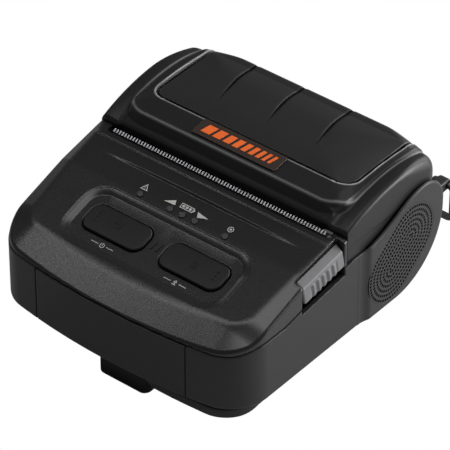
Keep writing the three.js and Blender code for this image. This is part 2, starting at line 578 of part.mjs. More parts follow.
function upperCase() {
  const inset = panel.inset;
  const bottom = seamLine(fit.seat);
  const top = panelTop(0);
  const sideEnd = at(panel.sideEnd);
  const rearBottom = up(seam.rearHeight + fit.seat);
  const shape = [...bottom.slice(1, -1), [sideEnd, rearBottom], ...top.reverse()];
  const outer = alongZ(caseOutline(inset), caseBottom, up(panel.tearHeight + fit.overrun))
    .intersect(alongX(shape, -body.halfWidth, body.halfWidth));
  const roof = panelTop(panel.wall).map(([y, z]) => [y + panel.wall, z]).reverse();
  roof[0] = [at(body.panelLength) - panel.wall, roof[0][1]];
  roof[1] = [at(body.panelLength) - panel.wall - fit.weld, roof[1][1]];
  const hollow = alongZ(caseOutline(inset + panel.wall), caseBottom - fit.overrun, up(panel.tearHeight))
    .intersect(alongX([
      [at(0), caseBottom - fit.overrun], [roof[0][0], caseBottom - fit.overrun], ...roof,
    ], -body.halfWidth, body.halfWidth));
  const slotHalf = slotBlock.halfSpan;
  const slot = box(-slotHalf, slotHalf, at(body.panelLength) - fit.seat, at(caseLength),
    caseBottom - fit.overrun, up(panel.tearHeight + fit.overrun));
  const throat = box(-slotHalf, slotHalf, at(body.panelLength) - panel.wall - fit.weld * 2,
    at(body.panelLength), caseBottom - fit.overrun, up(panel.tearHeight - tear.height - fit.seat));
  const side = [1, -1].map((s) => {
    const [x0, x1] = mirrored(s, slotHalf - fit.weld, body.halfWidth - inset - panel.wall);
    return box(x0, x1, at(body.panelLength) - panel.wall * 2, at(caseLength), caseBottom - fit.overrun,
      up(panel.tearHeight - panel.wall * 2));
  });
  const bevels = [1, -1].map(sideBevel);
  const flat = roundedRect(-recess.halfWidth + recess.slopeWidth, recess.halfWidth - recess.slopeWidth,
    -recess.halfDepth + recess.slopeWidth, recess.halfDepth - recess.slopeWidth,
      recess.corner - recess.slopeWidth);
  const pan = onPanel(flat, 0, fit.overrun, recess.setback,
    { bevelEnabled: true, bevelThickness: recess.sink, bevelSize: recess.slopeWidth, bevelSegments: 2 });
  const floor = onPanel(roundedRect(-recess.halfWidth, recess.halfWidth, -recess.halfDepth,
    recess.halfDepth,
    recess.corner), -recess.sink - recess.floor, -recess.sink, recess.setback);
  const keyHoles = [1, -1].map((s) => onPanel(keyOutline(s, fit.slide), -fit.overrun, fit.overrun,
    key.setback));
  const lampHoles = lampPlaces.map(([, x]) => onPanel(
    arc(x, 0, lamp.radius + fit.seat / 2, 0, 2 * Math.PI, sides.coarse).slice(1), -fit.overrun, fit.overrun,
    lampSetback));
  const underRecess = recess.sink + recess.floor;
  const posts = [-1, 1].flatMap((s) => [-1, 1].map((t) => onPanel(
    arc(s * keyBoard.postX, t * (recess.halfDepth - keyBoard.post), keyBoard.post, 0, 2 * Math.PI,
      sides.coarse)
      .slice(1),
    -keyBoard.depthBelow + fit.seat, -underRecess + fit.weld, recess.setback)));
  const opening = box(release.crestX - fit.slide, body.halfWidth + fit.overrun,
    at(release.frontSetback) - fit.slide,
    at(release.rearSetback) + fit.slide, caseBottom, up(panel.tearHeight + fit.overrun));
  const shelf = fit.slide - release.shelfDrop;
  const doorway = alongX([
    [at(release.frontSetback - release.flange) - fit.slide, caseBottom],
    [at(release.rearSetback + release.flange) + fit.slide, caseBottom],
    [at(release.rearSetback + release.flange) + fit.slide, up(release.rearCrest) + shelf],
    [at(release.frontSetback - release.flange) - fit.slide, up(release.frontCrest) + shelf],
  ], release.innerX - release.flange - fit.slide, body.halfWidth);
  const shell = cut(outer, hollow, slot, throat, ...side, ...bevels);
  return cut(join(shell, floor, ...posts), pan, ...keyHoles, ...lampHoles, opening, doorway);
}

// Keys: a rounded cap through the recess floor, a flange under it and a stem down to the switch
function keyCap(side) {
  const under = recess.sink + recess.floor + fit.seat;
  const round = key.round;
  const inner = roundedRect(side * key.centreX - keyHalfWidth + round,
    side * key.centreX + keyHalfWidth - round,
    -key.halfDepth + round, key.halfDepth - round, key.corner - round);
  const top = key.proud - recess.sink;
  const blank = onPanel(inner, -fit.overrun, top - round, key.setback,
    { bevelEnabled: true, bevelThickness: round, bevelSize: round, bevelSegments: 2 });
  const below = onPanel(keyOutline(side, fit.overrun), -2 * fit.overrun, -under - key.flangeThickness / 2,
    key.setback);
  const cap = cut(blank, below);
  const flange = onPanel(keyOutline(side, key.flange), -under - key.flangeThickness, -under, key.setback);
  const stem = onPanel(arc(side * key.centreX, 0, key.stemRadius, 0, 2 * Math.PI, sides.coarse).slice(1),
    -keyBoard.depthBelow + keySwitch.height + keySwitch.capHeight + fit.seat + key.travel,
    -under, key.setback);
  return join(cap, flange, stem);
}

function keySwitchSolid(side) {
  const x = side * key.centreX;
  const square = (half) => roundedRect(x - half, x + half, -half, half, fit.weld, 1);
  const foot = -keyBoard.depthBelow + fit.seat / 2;
  const housing = onPanel(square(keySwitch.half), foot, foot + keySwitch.height, key.setback);
  const plunger = onPanel(square(keySwitch.capHalf), foot + keySwitch.height - fit.weld,
    foot + keySwitch.height + keySwitch.capHeight - fit.seat / 2, key.setback);
  return join(housing, plunger);
}

function lampSolid(x) {
  const round = arc(x, 0, lamp.radius, 0, 2 * Math.PI, sides.coarse).slice(1);
  return onPanel(round, -keyBoard.depthBelow + fit.seat, lamp.proud, lampSetback);
}

function keyBoardSolid() {
  const outline = roundedRect(-keyBoard.halfWidth, keyBoard.halfWidth, -keyBoard.frontReach,
    keyBoard.rearReach,
    fit.overrun / 4, 2);
  return onPanel(outline, -keyBoard.depthBelow - keyBoard.thickness, -keyBoard.depthBelow, recess.setback);
}

// Tear bar: one tooth repeated along the top edge
function tearBar() {
  const teeth = Math.round(2 * tear.halfLength / tear.pitch);
  const pitch = 2 * tear.halfLength / teeth;
  const tip = up(panel.tearHeight + tear.proud);
  const outline = [[-tear.halfLength, tip - tear.height], [tear.halfLength, tip - tear.height]];
  for (let i = teeth; i > 0; i -= 1) {
    outline.push([-tear.halfLength + i * pitch, tip - tear.toothHeight]);
    outline.push([-tear.halfLength + (i - 0.5) * pitch, tip]);
  }
  outline.push([-tear.halfLength, tip - tear.toothHeight]);
  return alongY(outline, at(body.panelLength), at(body.panelLength) + tear.thickness);
}

function slotBlockSolid(side) {
  const [x0, x1] = mirrored(side, slotBlock.halfSpan - slotBlock.length - fit.seat,
    slotBlock.halfSpan - fit.seat);
  const [a0, a1] = mirrored(side, tear.halfLength + fit.seat, slotBlock.halfSpan - fit.seat);
  const y1 = at(cover.lipSetback) - fit.slide;
  const top = up(panel.tearHeight);
  const cap = box(x0, x1, y1 - slotBlock.depth / 2, y1, top - slotBlock.height, top);
  const arm = box(a0, a1, at(body.panelLength), y1, top - tear.height, top - slotBlock.height / 2);
  return join(cap, arm);
}

// Release button: a wedge with a pale upper facet, ribbed side face and a retaining flange
function releaseButton() {
  const y0 = at(release.frontSetback);
  const y1 = at(release.rearSetback);
  const crest = (share) => up(release.frontCrest + (release.rearCrest - release.frontCrest) * share);
  const tilt = Math.atan2(release.rearCrest - release.frontCrest,
    release.rearSetback - release.frontSetback);
  const drop = release.facetDrop;
  const low = release.faceDrop;
  const section = [
    [release.innerX, -low], [releaseOuterX, -low], [release.faceX, -drop], [release.crestX, 0],
    [release.crestX, -release.shelfDrop], [release.innerX, -release.shelfDrop],
  ];
  const length = (y1 - y0) / Math.cos(tilt);
  const frame = new THREE.Matrix4().makeRotationX(tilt).setPosition(0, y0, crest(0));
  const lay = new THREE.Matrix4().makeBasis(
    new THREE.Vector3(1, 0, 0), new THREE.Vector3(0, 0, 1), new THREE.Vector3(0, -1, 0)).setPosition(0,
      length, 0);
  const block = placed(prism(section, length), frame.clone().multiply(lay));
  const trim = alongX(roundedRect(y0, y1, crest(0) - low, crest(1) + fit.weld, release.corner, 3),
    release.innerX, releaseOuterX + fit.overrun);
  const flange = box(release.innerX - release.flange, release.innerX + fit.weld, y0 - release.flange / 2,
    y1 + release.flange / 2, crest(0) - low + fit.weld, crest(0) - drop - fit.weld);
  const ribs = Array.from({ length: release.ribCount }, (_, i) => {
    const share = 0.5 + (i - (release.ribCount - 1) / 2) * release.ribPitch / (y1 - y0);
    const centre = { y: y0 + (y1 - y0) * share, z: crest(share) - (drop + low) / 2 };
    return placed(new THREE.CylinderGeometry(release.ribRadius, release.ribRadius,
      low - drop - release.ribRadius,
      sides.coarse), new THREE.Matrix4().makeRotationX(Math.PI / 2 - tilt / 2 + Math.PI / 2)
      .setPosition((release.faceX + releaseOuterX) / 2 - release.ribRadius / 3, centre.y, centre.z));
  });
  return join(block.intersect(trim), flange, ...ribs.map((rib) => rib.intersect(trim)));
}

// Cover shell: side skirts, apron, ridge, rear wall and hinge barrel
function coverRoof(edge, rearShift = 0) {
  const shoulderY = rearY - cover.rearRadius;
  return [
    ...edge,
    ...arc(shoulderY - rearShift, up(cover.rearTop) - cover.rearRadius, cover.rearRadius, Math.PI / 2, 0,
      sides.corner),
  ];
}

function ridgeLine() {
  return bezier([
    [at(ridge.frontSetback), up(ridge.edgeHeight)],
    [at(ridge.crownSetback), up(2 * ridge.crownHeight - (ridge.edgeHeight + cover.rearTop) / 2)],
    [rearY - cover.rearRadius, up(cover.rearTop)],
  ]).slice(0, -1);
}

function coverOutline(inset) {
  const quarter = Math.PI / 2;
  const front = at(cover.lipSetback) + inset;
  const radius = cover.rearCorner - inset;
  const half = cover.halfWidth - inset;
  const backY = rearY - inset - radius;
  return [
    [-half, front], [half, front],
    ...arc(half - radius, backY, radius, 0, quarter, sides.corner),
    ...arc(radius - half, backY, radius, quarter, 2 * quarter, sides.corner),
  ];
}

function coverBody(inset) {
  const front = at(cover.lipSetback) + inset;
  const bottom = inset ? cover.skirt - fit.overrun : cover.skirt;
  const low = [
    [front, up(bottom)], [rearY, up(bottom)],
    ...coverRoof([
      [front, up(cover.frontHeight) - inset], [at(cover.midSetback), up(cover.midHeight) - inset],
      [at(cover.farSetback), up(cover.farHeight) - inset],
      [rearY - cover.rearRadius, up(cover.rearTop) - inset],
    ]).slice(0, -1).reverse().map(([y, z]) => [Math.min(y, rearY - inset), Math.min(z,
      up(cover.rearTop) - inset)]),
  ];
  const creaseX = cover.creaseX - inset;
  const edge = (height) => up(height) - inset;
  const wide = [
    [-cover.halfWidth, up(bottom)], [cover.halfWidth, up(bottom)],
    [cover.halfWidth, edge(cover.rearTop) - cover.creaseDrop * 2], [creaseX, edge(cover.rearTop)],
    [-creaseX, edge(cover.rearTop)], [-cover.halfWidth, edge(cover.rearTop) - cover.creaseDrop * 2],
  ];
  const skirts = alongZ(coverOutline(inset), up(bottom), up(cover.rearTop))
    .intersect(alongX(low, -cover.halfWidth, cover.halfWidth))
    .intersect(alongY(wide, at(0), rearY + fit.overrun));
  return skirts;
}

function ridgeBody(inset) {
  const bottom = up(inset ? cover.skirt - fit.overrun : cover.skirt);
  const front = at(ridge.frontSetback) + inset;
  const top = coverRoof(ridgeLine());
  const side = [
    [front, bottom], [rearY - inset, bottom],
    ...top.reverse().map(([y, z]) => [Math.max(front, Math.min(y, rearY - inset)), z - inset]),
  ];
  const crown = (x, drop) => [x, up(ridge.crownHeight) - drop - inset];
  const half = ridge.halfWidth - inset;
  const across = [
    [half, bottom], crown(half, ridge.crownDrop + ridge.sideDrop), crown(half - ridge.sideDrop / 2,
      ridge.crownDrop + ridge.sideDrop / 4), crown(ridge.shoulderX, ridge.crownDrop),
    crown((ridge.shoulderX + ridge.flatHalfWidth) / 2, ridge.crownDrop / 3), crown(ridge.flatHalfWidth, 0),
  ];
  const profile = [...across, ...across.map(([x, z]) => [-x, z]).reverse()];
  const plan = roundedRect(-half, half, front, rearY - inset, ridge.corner - inset);
  const raised = alongX(side, -half, half).intersect(alongY(profile, at(0), rearY + fit.overrun))
    .intersect(alongZ(plan, bottom, up(ridge.crownHeight + fit.overrun)));
  const lip = at(cover.lipSetback) + inset;
  const apron = alongX([
    [lip, bottom], [front + ridge.corner, bottom], [front + ridge.corner, up(ridge.baseHeight) - inset],
    [front, up(ridge.baseHeight) - inset], [lip, up(cover.frontHeight) - inset],
  ], inset - ridge.apronHalfWidth, ridge.apronHalfWidth - inset);
  return join(raised, apron);
}

function windowStrip(drop, halfWidth, front, thickness, end = up(windowPanel.rearHeight)) {
  const line = ridgeLine().filter(([y]) => y > front);
  const top = coverRoof([[front, line[0][1]], ...line]);
  const centre = [(front + rearY) / 2, up(cover.rearEdge)];
  const sunk = top.map(([y, z]) => {
    const reach = Math.hypot(y - centre[0], z - centre[1]);
    const scale = (reach - drop) / reach;
    return [centre[0] + (y - centre[0]) * scale, centre[1] + (z - centre[1]) * scale];
  });
  const inner = sunk.map(([y, z]) => {
    const reach = Math.hypot(y - centre[0], z - centre[1]);
    const scale = (reach - thickness) / reach;
    return [centre[0] + (y - centre[0]) * scale, centre[1] + (z - centre[1]) * scale];
  });
  const rear = sunk[sunk.length - 1];
  return alongX([[inner[inner.length - 1][0], end], ...inner.reverse(), ...sunk, [rear[0], end]],
    -halfWidth, halfWidth);
}

function coverShell() {
  const hollow = [coverBody(cover.wall), ridgeBody(cover.wall)];
  const lipEdge = box(-cover.halfWidth, cover.halfWidth, at(cover.lipSetback),
    at(cover.lipSetback) + cover.wall,
    up(cover.skirt - fit.overrun), up(cover.lipHeight) - cover.lipThickness);
  const knuckle = join(
    discX(hingeAxis, hinge.barrelRadius, -hinge.barrelHalfLength, hinge.barrelHalfLength),
    box(-hinge.barrelHalfLength, hinge.barrelHalfLength, rearY - cover.wall, rearY - fit.weld, hingeAxis.z,
      up(cover.rearEdge + cover.wall)));
  const backCut = box(-drumHalfWidth, drumHalfWidth, hingeAxis.y - hinge.sweep, rearY + fit.overrun,
    up(cover.skirt - fit.overrun), up(cover.rearEdge));
  const lugCuts = [1, -1].map((side) => {
    const [x0, x1] = mirrored(side, hinge.lugX - fit.slide, hinge.lugX + hinge.lugThickness + fit.slide);
    return discX(hingeAxis, hinge.lugRadius + hinge.lugClear, x0, x1);
  });
  const bores = [1, -1].map((side) => {
    const [x0, x1] = mirrored(side, hinge.barrelHalfLength - hinge.pinInset - fit.seat, hinge.lugX);
    return discX(hingeAxis, hinge.pinRadius + fit.running, x0, x1);
  });
  const low = up(windowPanel.rearHeight);
  const pocket = windowStrip(-fit.overrun / 2, windowPanel.halfWidth + windowPanel.gap,
    at(windowPanel.frontSetback) - windowPanel.gap,
    windowPanel.thickness + windowPanel.sink + windowPanel.gap + fit.overrun / 2, low - windowPanel.gap);
  const backing = windowStrip(windowPanel.sink, windowPanel.halfWidth + cover.wall,
    at(windowPanel.frontSetback) - cover.wall, windowPanel.thickness + windowPanel.gap * 2 + cover.wall,
    low - cover.wall);
  const outer = join(coverBody(0), ridgeBody(0));
  const shell = cut(join(cut(outer, ...hollow, lipEdge), backing.intersect(outer)), pocket, labelSeat());
  return cut(join(cut(shell, backCut), knuckle), ...bores, ...lugCuts);
}

// Label plate on the ridge in front of the window
function labelFrame() {
  const share = (label.setback - ridge.frontSetback) / (windowPanel.frontSetback - ridge.frontSetback);
  const line = ridgeLine();
  const front = line[0];
  const far = line.find(([y]) => y >= at(windowPanel.frontSetback));
  const angle = Math.atan2(far[1] - front[1], far[0] - front[0]);
  const z = front[1] + (at(label.setback) - front[0]) * Math.tan(angle) + fit.weld / 2;
  return { matrix: new THREE.Matrix4().makeRotationX(angle).setPosition(0, at(label.setback), z), share };
}

function labelSolid(grow, w0, w1) {
  const outline = roundedRect(-label.halfWidth - grow, label.halfWidth + grow, -label.halfDepth - grow,
    label.halfDepth + grow, label.corner + grow, 2);
  const shift = new THREE.Matrix4().makeTranslation(0, 0, w0);
  return placed(prism(outline, w1 - w0), labelFrame().matrix.multiply(shift));
}

const labelSeat = () => labelSolid(fit.seat / 2, -label.thickness + label.proud - fit.seat, fit.overrun);

// Window panel: a curved plate with three grooves
function windowSolid() {
  const half = windowPanel.halfWidth;
  const front = at(windowPanel.frontSetback);
  const strip = windowStrip(windowPanel.sink, half, front, windowPanel.thickness);
  const plan = roundedRect(-half, half, front, rearY + windowPanel.corner, windowPanel.corner);
  const crown = ridgeBody(windowPanel.sink);
  const grooves = Array.from({ length: windowPanel.panes - 1 }, (_, i) => {
    const x = half * (2 * (i + 1) / windowPanel.panes - 1);
    const groove = windowStrip(windowPanel.sink - fit.weld, windowPanel.grooveWidth / 2,
      at(windowPanel.grooveSetback), windowPanel.grooveDepth + fit.weld);
    return { groove, x };
  });
  const body0 = strip.intersect(crown).intersect(alongZ(plan, caseBottom,
    up(ridge.crownHeight + fit.overrun)));
  return grooves.reduce((left, { groove, x }) => left.subtract(shifted(groove, x)), body0);
}

function shifted(manifold, x) {
  const { vertProperties, triVerts } = manifold.getMesh();
  const moved = vertProperties.map((value, i) => (i % 3 === 0 ? value + x : value));
  return new wasm.Manifold(new wasm.Mesh({ numProp: 3, vertProperties: moved, triVerts }));
}

// Cover frame: a beam with two arms that hold the platen bushes
function coverFrameSolid() {
  const beam = box(-coverFrame.halfLength, coverFrame.halfLength, at(coverFrame.beamSetback),
    at(coverFrame.beamSetback) + coverFrame.beamDepth, up(coverFrame.beamBottom), up(coverFrame.beamTop));
  const arms = [1, -1].map((side) => {
    const [x0, x1] = mirrored(side, bush.innerX, bush.innerX + bush.thickness);
    const web = alongX([
      [platenAxis.y, platenAxis.z - coverFrame.armRadius],
      [at(coverFrame.beamSetback) + coverFrame.beamDepth, up(coverFrame.beamBottom)],
      [at(coverFrame.beamSetback) + coverFrame.beamDepth, up(coverFrame.beamTop)],
      [platenAxis.y, platenAxis.z + coverFrame.armRadius],
    ], x0, x1);
    const eye = discX(platenAxis, coverFrame.armRadius, x0, x1);
    const bore = discX(platenAxis, bush.radius + fit.seat, x0 - fit.overrun, x1 + fit.overrun);
    return cut(join(eye, web), bore);
  });
  return join(beam, ...arms);
}

function bushSolid(side) {
  const [x0, x1] = mirrored(side, bush.innerX, bush.innerX + bush.thickness);
  return cut(discX(platenAxis, bush.radius, x0, x1),
    discX(platenAxis, platen.endRadius + fit.running, x0 - fit.overrun, x1 + fit.overrun));
}

function platenShaft() {
  return join(
    discX(platenAxis, platen.endRadius, -platen.leftEnd, platen.rightEnd),
    discX(platenAxis, platen.shaftRadius, -platen.halfLength - fit.seat, platen.halfLength + fit.seat));
}

function platenRubber() {
  return cut(discX(platenAxis, platen.radius, -platen.halfLength, platen.halfLength, sides.fine),
    discX(platenAxis, platen.shaftRadius + fit.seat, -platen.rightEnd, platen.rightEnd));
}

// Spur gears: trapezoidal teeth on a disc, turned so that the teeth mesh at rest
function gearSolid(centre, teeth, phase, bore) {
  const pitch = pitchRadius(teeth);
  const tip = pitch + gear.module * 0.8;
  const root = pitch - gear.module * 1.1;
  const step = 2 * Math.PI / teeth;
  const half = step * gear.toothShare / 2 - gear.backlash / pitch / 2;
  const outline = [];
  for (let i = 0; i < teeth; i += 1) {
    const middle = phase + i * step;
    const spots = [[root, -half * 1.7], [tip, -half * 0.55], [tip, half * 0.55], [root, half * 1.7]];
    spots.forEach(([radius, offset]) => outline.push([
      centre.y + radius * Math.cos(middle + offset), centre.z + radius * Math.sin(middle + offset)]));
  }
  const disc = alongX(outline, -gear.innerX - gear.width, -gear.innerX);
  return cut(disc, discX(centre, bore, -platen.leftEnd - fit.overrun, -platen.endRadius, sides.coarse));
}

const gearPhases = (() => {
  const idlerStep = 2 * Math.PI / gear.idlerTeeth;
  const back = gear.angle + Math.PI;
  const meshing = gear.angle + Math.PI / gear.platenTeeth;
  return {
    platen: meshing,
    idler: back,
    pinion: gear.pinionAngle + Math.PI + Math.PI / gear.pinionTeeth
      + ((gear.pinionAngle - back) % idlerStep) * (gear.idlerTeeth / gear.pinionTeeth),
  };
})();

function idlerAxleSolid() {
  const x0 = -gear.innerX - gear.width;
  return join(discX(idlerAxis, idler.axleRadius, x0 - fit.seat - fit.weld,
    -chassis.innerX - chassis.plate - fit.seat,
    sides.coarse),
  discX(idlerAxis, idler.axleHead, x0 - fit.seat - idler.headThickness, x0 - fit.seat, sides.coarse));
}

function pinionSolid() {
  const toothed = gearSolid(motorAxis, gear.pinionTeeth, gearPhases.pinion, fit.weld / 2);
  const reach = -chassis.innerX + motor.flange;
  const core = discX(motorAxis, pitchRadius(gear.pinionTeeth) - gear.module * 1.2,
    -gear.innerX - gear.width, -gear.innerX + fit.weld, sides.coarse);
  const shaft = discX(motorAxis, motor.shaftRadius, -gear.innerX - fit.weld, reach, sides.coarse);
  return join(toothed, core, shaft);
}

function motorSolid() {
  const x0 = -chassis.innerX + fit.seat;
  const can = discX(motorAxis, motor.radius, x0, x0 + motor.length, sides.fine);
  return cut(can, discX(motorAxis, motor.bore + fit.seat / 2, x0 - fit.overrun,
    x0 + motor.flange + fit.slide * 3,
    sides.coarse));
}

// Print chassis: a folded steel plate with two cheeks and a leg for the motor
function chassisSolid() {
  const back = box(-chassis.innerX - fit.weld, chassis.innerX + fit.weld, at(chassis.backSetback),
    at(chassis.backSetback) + chassis.plate, up(chassis.bottom), up(chassis.top));
  const cheeks = [1, -1].map((side) => {
    const [x0, x1] = mirrored(side, chassis.innerX, chassis.innerX + chassis.plate);
    const front = side > 0 ? chassis.backSetback : chassis.frontSetback;
    const frontEdge = side > 0 ? [[at(chassis.backSetback), up(chassis.top)]]
      : [[at(chassis.backSetback), up(chassis.top)], [at(chassis.frontSetback), up(chassis.frontTop)]];
    const plate = alongX([
      [at(front), up(chassis.bottom)], [at(chassis.rearSetback), up(chassis.bottom)],
      [at(chassis.rearSetback), up(chassis.sideTop)], [at(chassis.backSetback) + chassis.plate,
        up(chassis.sideTop)],
      ...frontEdge,
    ], x0, x1);
    const slot = box(x0 - fit.overrun, x1 + fit.overrun, platenAxis.y - chassis.notchFront,
      platenAxis.y + chassis.notchRear, platenAxis.z - chassis.notchFront,
        up(chassis.sideTop + fit.overrun));
    return cut(plate, slot);
  });
  const feet = [1, -1].map((side) => {
    const [x0, x1] = mirrored(side, chassis.innerX, chassis.innerX + chassis.plate);
    return box(x0, x1, at(chassis.backSetback), at(chassis.backSetback) + fit.overrun * 2,
      up(body.floor) + fit.seat, up(chassis.bottom + fit.weld));
  });
  const holes = [
    discX(latchAxis, latch.shaftRadius + fit.running, -body.halfWidth, body.halfWidth, sides.coarse),
    discX(motorAxis, motor.shaftRadius + fit.running, -body.halfWidth, 0, sides.coarse),
    discX(idlerAxis, idler.axleRadius + fit.seat, -body.halfWidth, 0, sides.coarse),
  ];
  return cut(join(back, ...cheeks, ...feet), ...holes);
}

// Head, holder and leaf spring stand behind each other in front of the platen
const headFaceY = platenAxis.y - platen.radius - fit.seat;

function headSolid() {
  const y1 = headFaceY;
  const block = box(-head.halfLength, head.halfLength, y1 - head.thickness, y1 - head.lineProud,
    up(head.bottom),
    up(head.top) - fit.seat);
  const line = box(-platen.halfLength, platen.halfLength, y1 - head.lineProud - fit.weld, y1,
    platenAxis.z - head.thickness / 2, platenAxis.z + head.thickness / 2);
  return join(block, line);
}

function holderSolid() {
  const y1 = headFaceY - head.thickness - fit.seat;
  return box(-head.halfLength, head.halfLength, y1 - holder.thickness, y1, up(holder.bottom),
    up(holder.top));
}

function leafSpringSolid() {
  const y0 = at(chassis.backSetback) + chassis.plate;
  const y1 = headFaceY - head.thickness - fit.seat - holder.thickness;
  const z = up((holder.bottom + holder.top) / 2);
  const mid = (y0 + y1) / 2;
  return box(-leafSpring.halfLength, leafSpring.halfLength, mid - leafSpring.thickness / 2,
    mid + leafSpring.thickness / 2, z - leafSpring.height / 2, z + leafSpring.height / 2);
}

// Latch: a cross shaft with a lever at the button, and a hook at each side
function latchShaftSolid() {
  const x1 = release.innerX + fit.weld;
  const rod = discX(latchAxis, latch.shaftRadius, -latch.leftEnd, x1 - latch.leverThickness / 2,
    sides.coarse);
  const tip = up(release.frontCrest) - release.faceDrop + fit.weld - fit.seat;
  const lever = alongX([
    [latchAxis.y - latch.leverLength, tip - latch.leverThickness],
    [latchAxis.y, latchAxis.z - latch.shaftRadius], [latchAxis.y + latch.shaftRadius, latchAxis.z],
    [latchAxis.y - latch.leverLength, tip],
  ], x1 - latch.leverThickness, x1);
  return join(rod, lever);
}

function hookSolid(side) {
  const [x0, x1] = mirrored(side, latch.hookX, latch.hookX + latch.hookThickness);
  const rear = platenAxis.y - platen.endRadius - fit.slide;
  const arm = alongX([
    [latchAxis.y - latch.hookHalf, latchAxis.z], [latchAxis.y + latch.hookHalf, latchAxis.z],
    [rear, platenAxis.z - latch.eyeRadius], [rear, up(latch.hookTop)],
    [rear - latch.hookHalf * 1.5, up(latch.hookTop)],
  ], x0, x1);
  return cut(join(arm, discX(latchAxis, latch.eyeRadius, x0, x1)),
    discX(latchAxis, latch.shaftRadius + fit.seat, x0 - fit.overrun, x1 + fit.overrun, sides.coarse));
}

// Roll compartment: a curved tray between two cheeks, on two feet
function bucketSolid() {
  const outerRadius = bucketRadius + bucket.thickness;
  const from = THREE.MathUtils.degToRad(bucket.frontAngle);
  const to = THREE.MathUtils.degToRad(bucket.rearAngle);
  const stock = alongX(arc(bucketAxis.y, bucketAxis.z, outerRadius, from, to, sides.fine),
    -bucket.halfLength - bucket.cheek, bucket.halfLength + bucket.cheek);
  return cut(stock, discX(bucketAxis, bucketRadius, -bucket.halfLength, bucket.halfLength, 2 * sides.fine));
}

function sensorSolid() {
  const y = bucketAxis.y - bucketRadius - bucket.thickness - fit.seat - sensor.depth;
  const top = latchAxis.z - latch.shaftRadius - sensor.latchGap;
  return box(sensor.x - sensor.halfWidth, sensor.x + sensor.halfWidth, y, y + sensor.depth,
    top - sensor.height, top);
}

// Battery pack with the bowed front panel between the two seams
function batterySolid() {
  const y0 = at(battery.panelDepth);
  const low = up(body.floor) + fit.seat;
  const pack = alongZ(roundedRect(-batteryHalfWidth, batteryHalfWidth, y0 - fit.weld, at(battery.depth),
    fit.weld / 2, 2), low, low + battery.height);
  const half = battery.seamX - battery.panelGap;
  const front = alongZ(caseOutline(0), caseBottom, up(seam.frontHeight) - fit.seat)
    .intersect(box(-half, half, at(-fit.overrun), y0, caseBottom, up(seam.frontHeight)));
  return join(pack, front);
}

function batterySlot() {
  return box(-batteryLatch.halfWidth - fit.slide, batteryLatch.halfWidth + fit.slide,
    at(batteryLatch.setback) - fit.slide, at(batteryLatch.setback) + batteryLatch.slot,
    caseBottom - fit.overrun, up(body.floor) + fit.weld);
}

function batteryLatchSolid() {
  const y0 = at(batteryLatch.setback);
  const top = up(body.floor);
  const slide = box(-batteryLatch.halfWidth, batteryLatch.halfWidth, y0, y0 + batteryLatch.length,
    clip.drop - batteryLatch.proud, top);
  return slide;
}

function terminalSolid() {
  const y0 = at(battery.depth) + fit.seat;
  return box(-terminal.halfWidth, terminal.halfWidth, y0, y0 + terminal.depth, up(body.floor) + fit.seat,
    up(body.floor) + fit.seat + terminal.height);
}

// Base plate, belt clip and their screws
function basePlateSolid() {
  const front = at(base.frontSetback);
  const outline = footprint(0, body.halfWidth - base.sideInset, front, baseRearY, base.corner,
    base.corner, base.frontBow);
  const plate = alongZ(outline, clip.drop, clip.drop + base.thickness);
  const slot = box(-batteryLatch.halfWidth - fit.slide, batteryLatch.halfWidth + fit.slide,
    at(batteryLatch.setback) - fit.slide, at(batteryLatch.setback) + batteryLatch.slot,
    clip.drop - fit.overrun, caseBottom + fit.overrun);
  const wells = baseScrewPlaces().map(([x, y]) => join(
    discZ(x, y, baseScrew.headRadius + fit.seat, clip.drop - fit.overrun,
      clip.drop + baseScrew.headHeight + fit.seat),
    discZ(x, y, baseScrew.shankRadius + fit.seat, clip.drop, caseBottom + fit.overrun, sides.coarse)));
  const bores = clipScrewPlaces().map(([x, y]) =>
    discZ(x, y, clipScrew.shankRadius + fit.seat, clip.drop - fit.overrun,
      clip.drop + clipScrew.bite + fit.seat,
      sides.coarse));
  return cut(plate, slot, ...wells, ...bores);
}

function baseScrewPlaces() {
  return [-1, 1].flatMap((side) => [at(base.frontSetback + baseScrew.frontInset),
    baseRearY - baseScrew.rearInset]
    .map((y) => [side * acrossFrom(sideGap.baseScrew), y]));
}

function baseScrewSolid([x, y]) {
  return join(discZ(x, y, baseScrew.headRadius, clip.drop + fit.seat / 2, clip.drop + baseScrew.headHeight),
    discZ(x, y, baseScrew.shankRadius, clip.drop + baseScrew.headHeight - fit.weld / 2,
      clip.drop + base.thickness, sides.coarse));
}

function clipScrewPlaces() {
  const y = baseRearY - clip.rearInset - clip.block / 2;
  return [-1, 1].map((side) => [side * clipScrew.spacing / 2, y]);
}

function clipSolid() {
  const front = at(clip.tipSetback);
  const rear = baseRearY - clip.rearInset;
  const top = clip.drop - fit.seat;
  const side = [
    [front, clip.corner / 2], [front + clip.corner / 2, 0], [rear, 0], [rear, top], [rear - clip.block,
      top],
    [rear - clip.block - clip.plate, clip.plate], [front + clip.tipThickness + clip.plate, clip.plate],
    [front + clip.tipThickness, clip.tipHeight], [front, clip.tipHeight],
  ];
  const plan = roundedRect(-clip.halfWidth, clip.halfWidth, front, rear, clip.corner);
  const wells = clipScrewPlaces().map(([x, y]) => join(
    discZ(x, y, clipScrew.headRadius + fit.seat, -fit.overrun, clip.plate + clipScrew.headHeight),
    discZ(x, y, clipScrew.shankRadius + fit.seat, 0, clip.drop, sides.coarse)));
  return cut(alongX(side, -clip.halfWidth, clip.halfWidth).intersect(alongZ(plan, 0, clip.drop)), ...wells);
}

function clipScrewSolid([x, y]) {
  const seatZ = clip.plate + clipScrew.headHeight - fit.seat;
  return join(discZ(x, y, clipScrew.headRadius, seatZ - clipScrew.headHeight, seatZ),
    discZ(x, y, clipScrew.shankRadius, seatZ - fit.weld / 2, clip.drop + clipScrew.bite, sides.coarse));
}

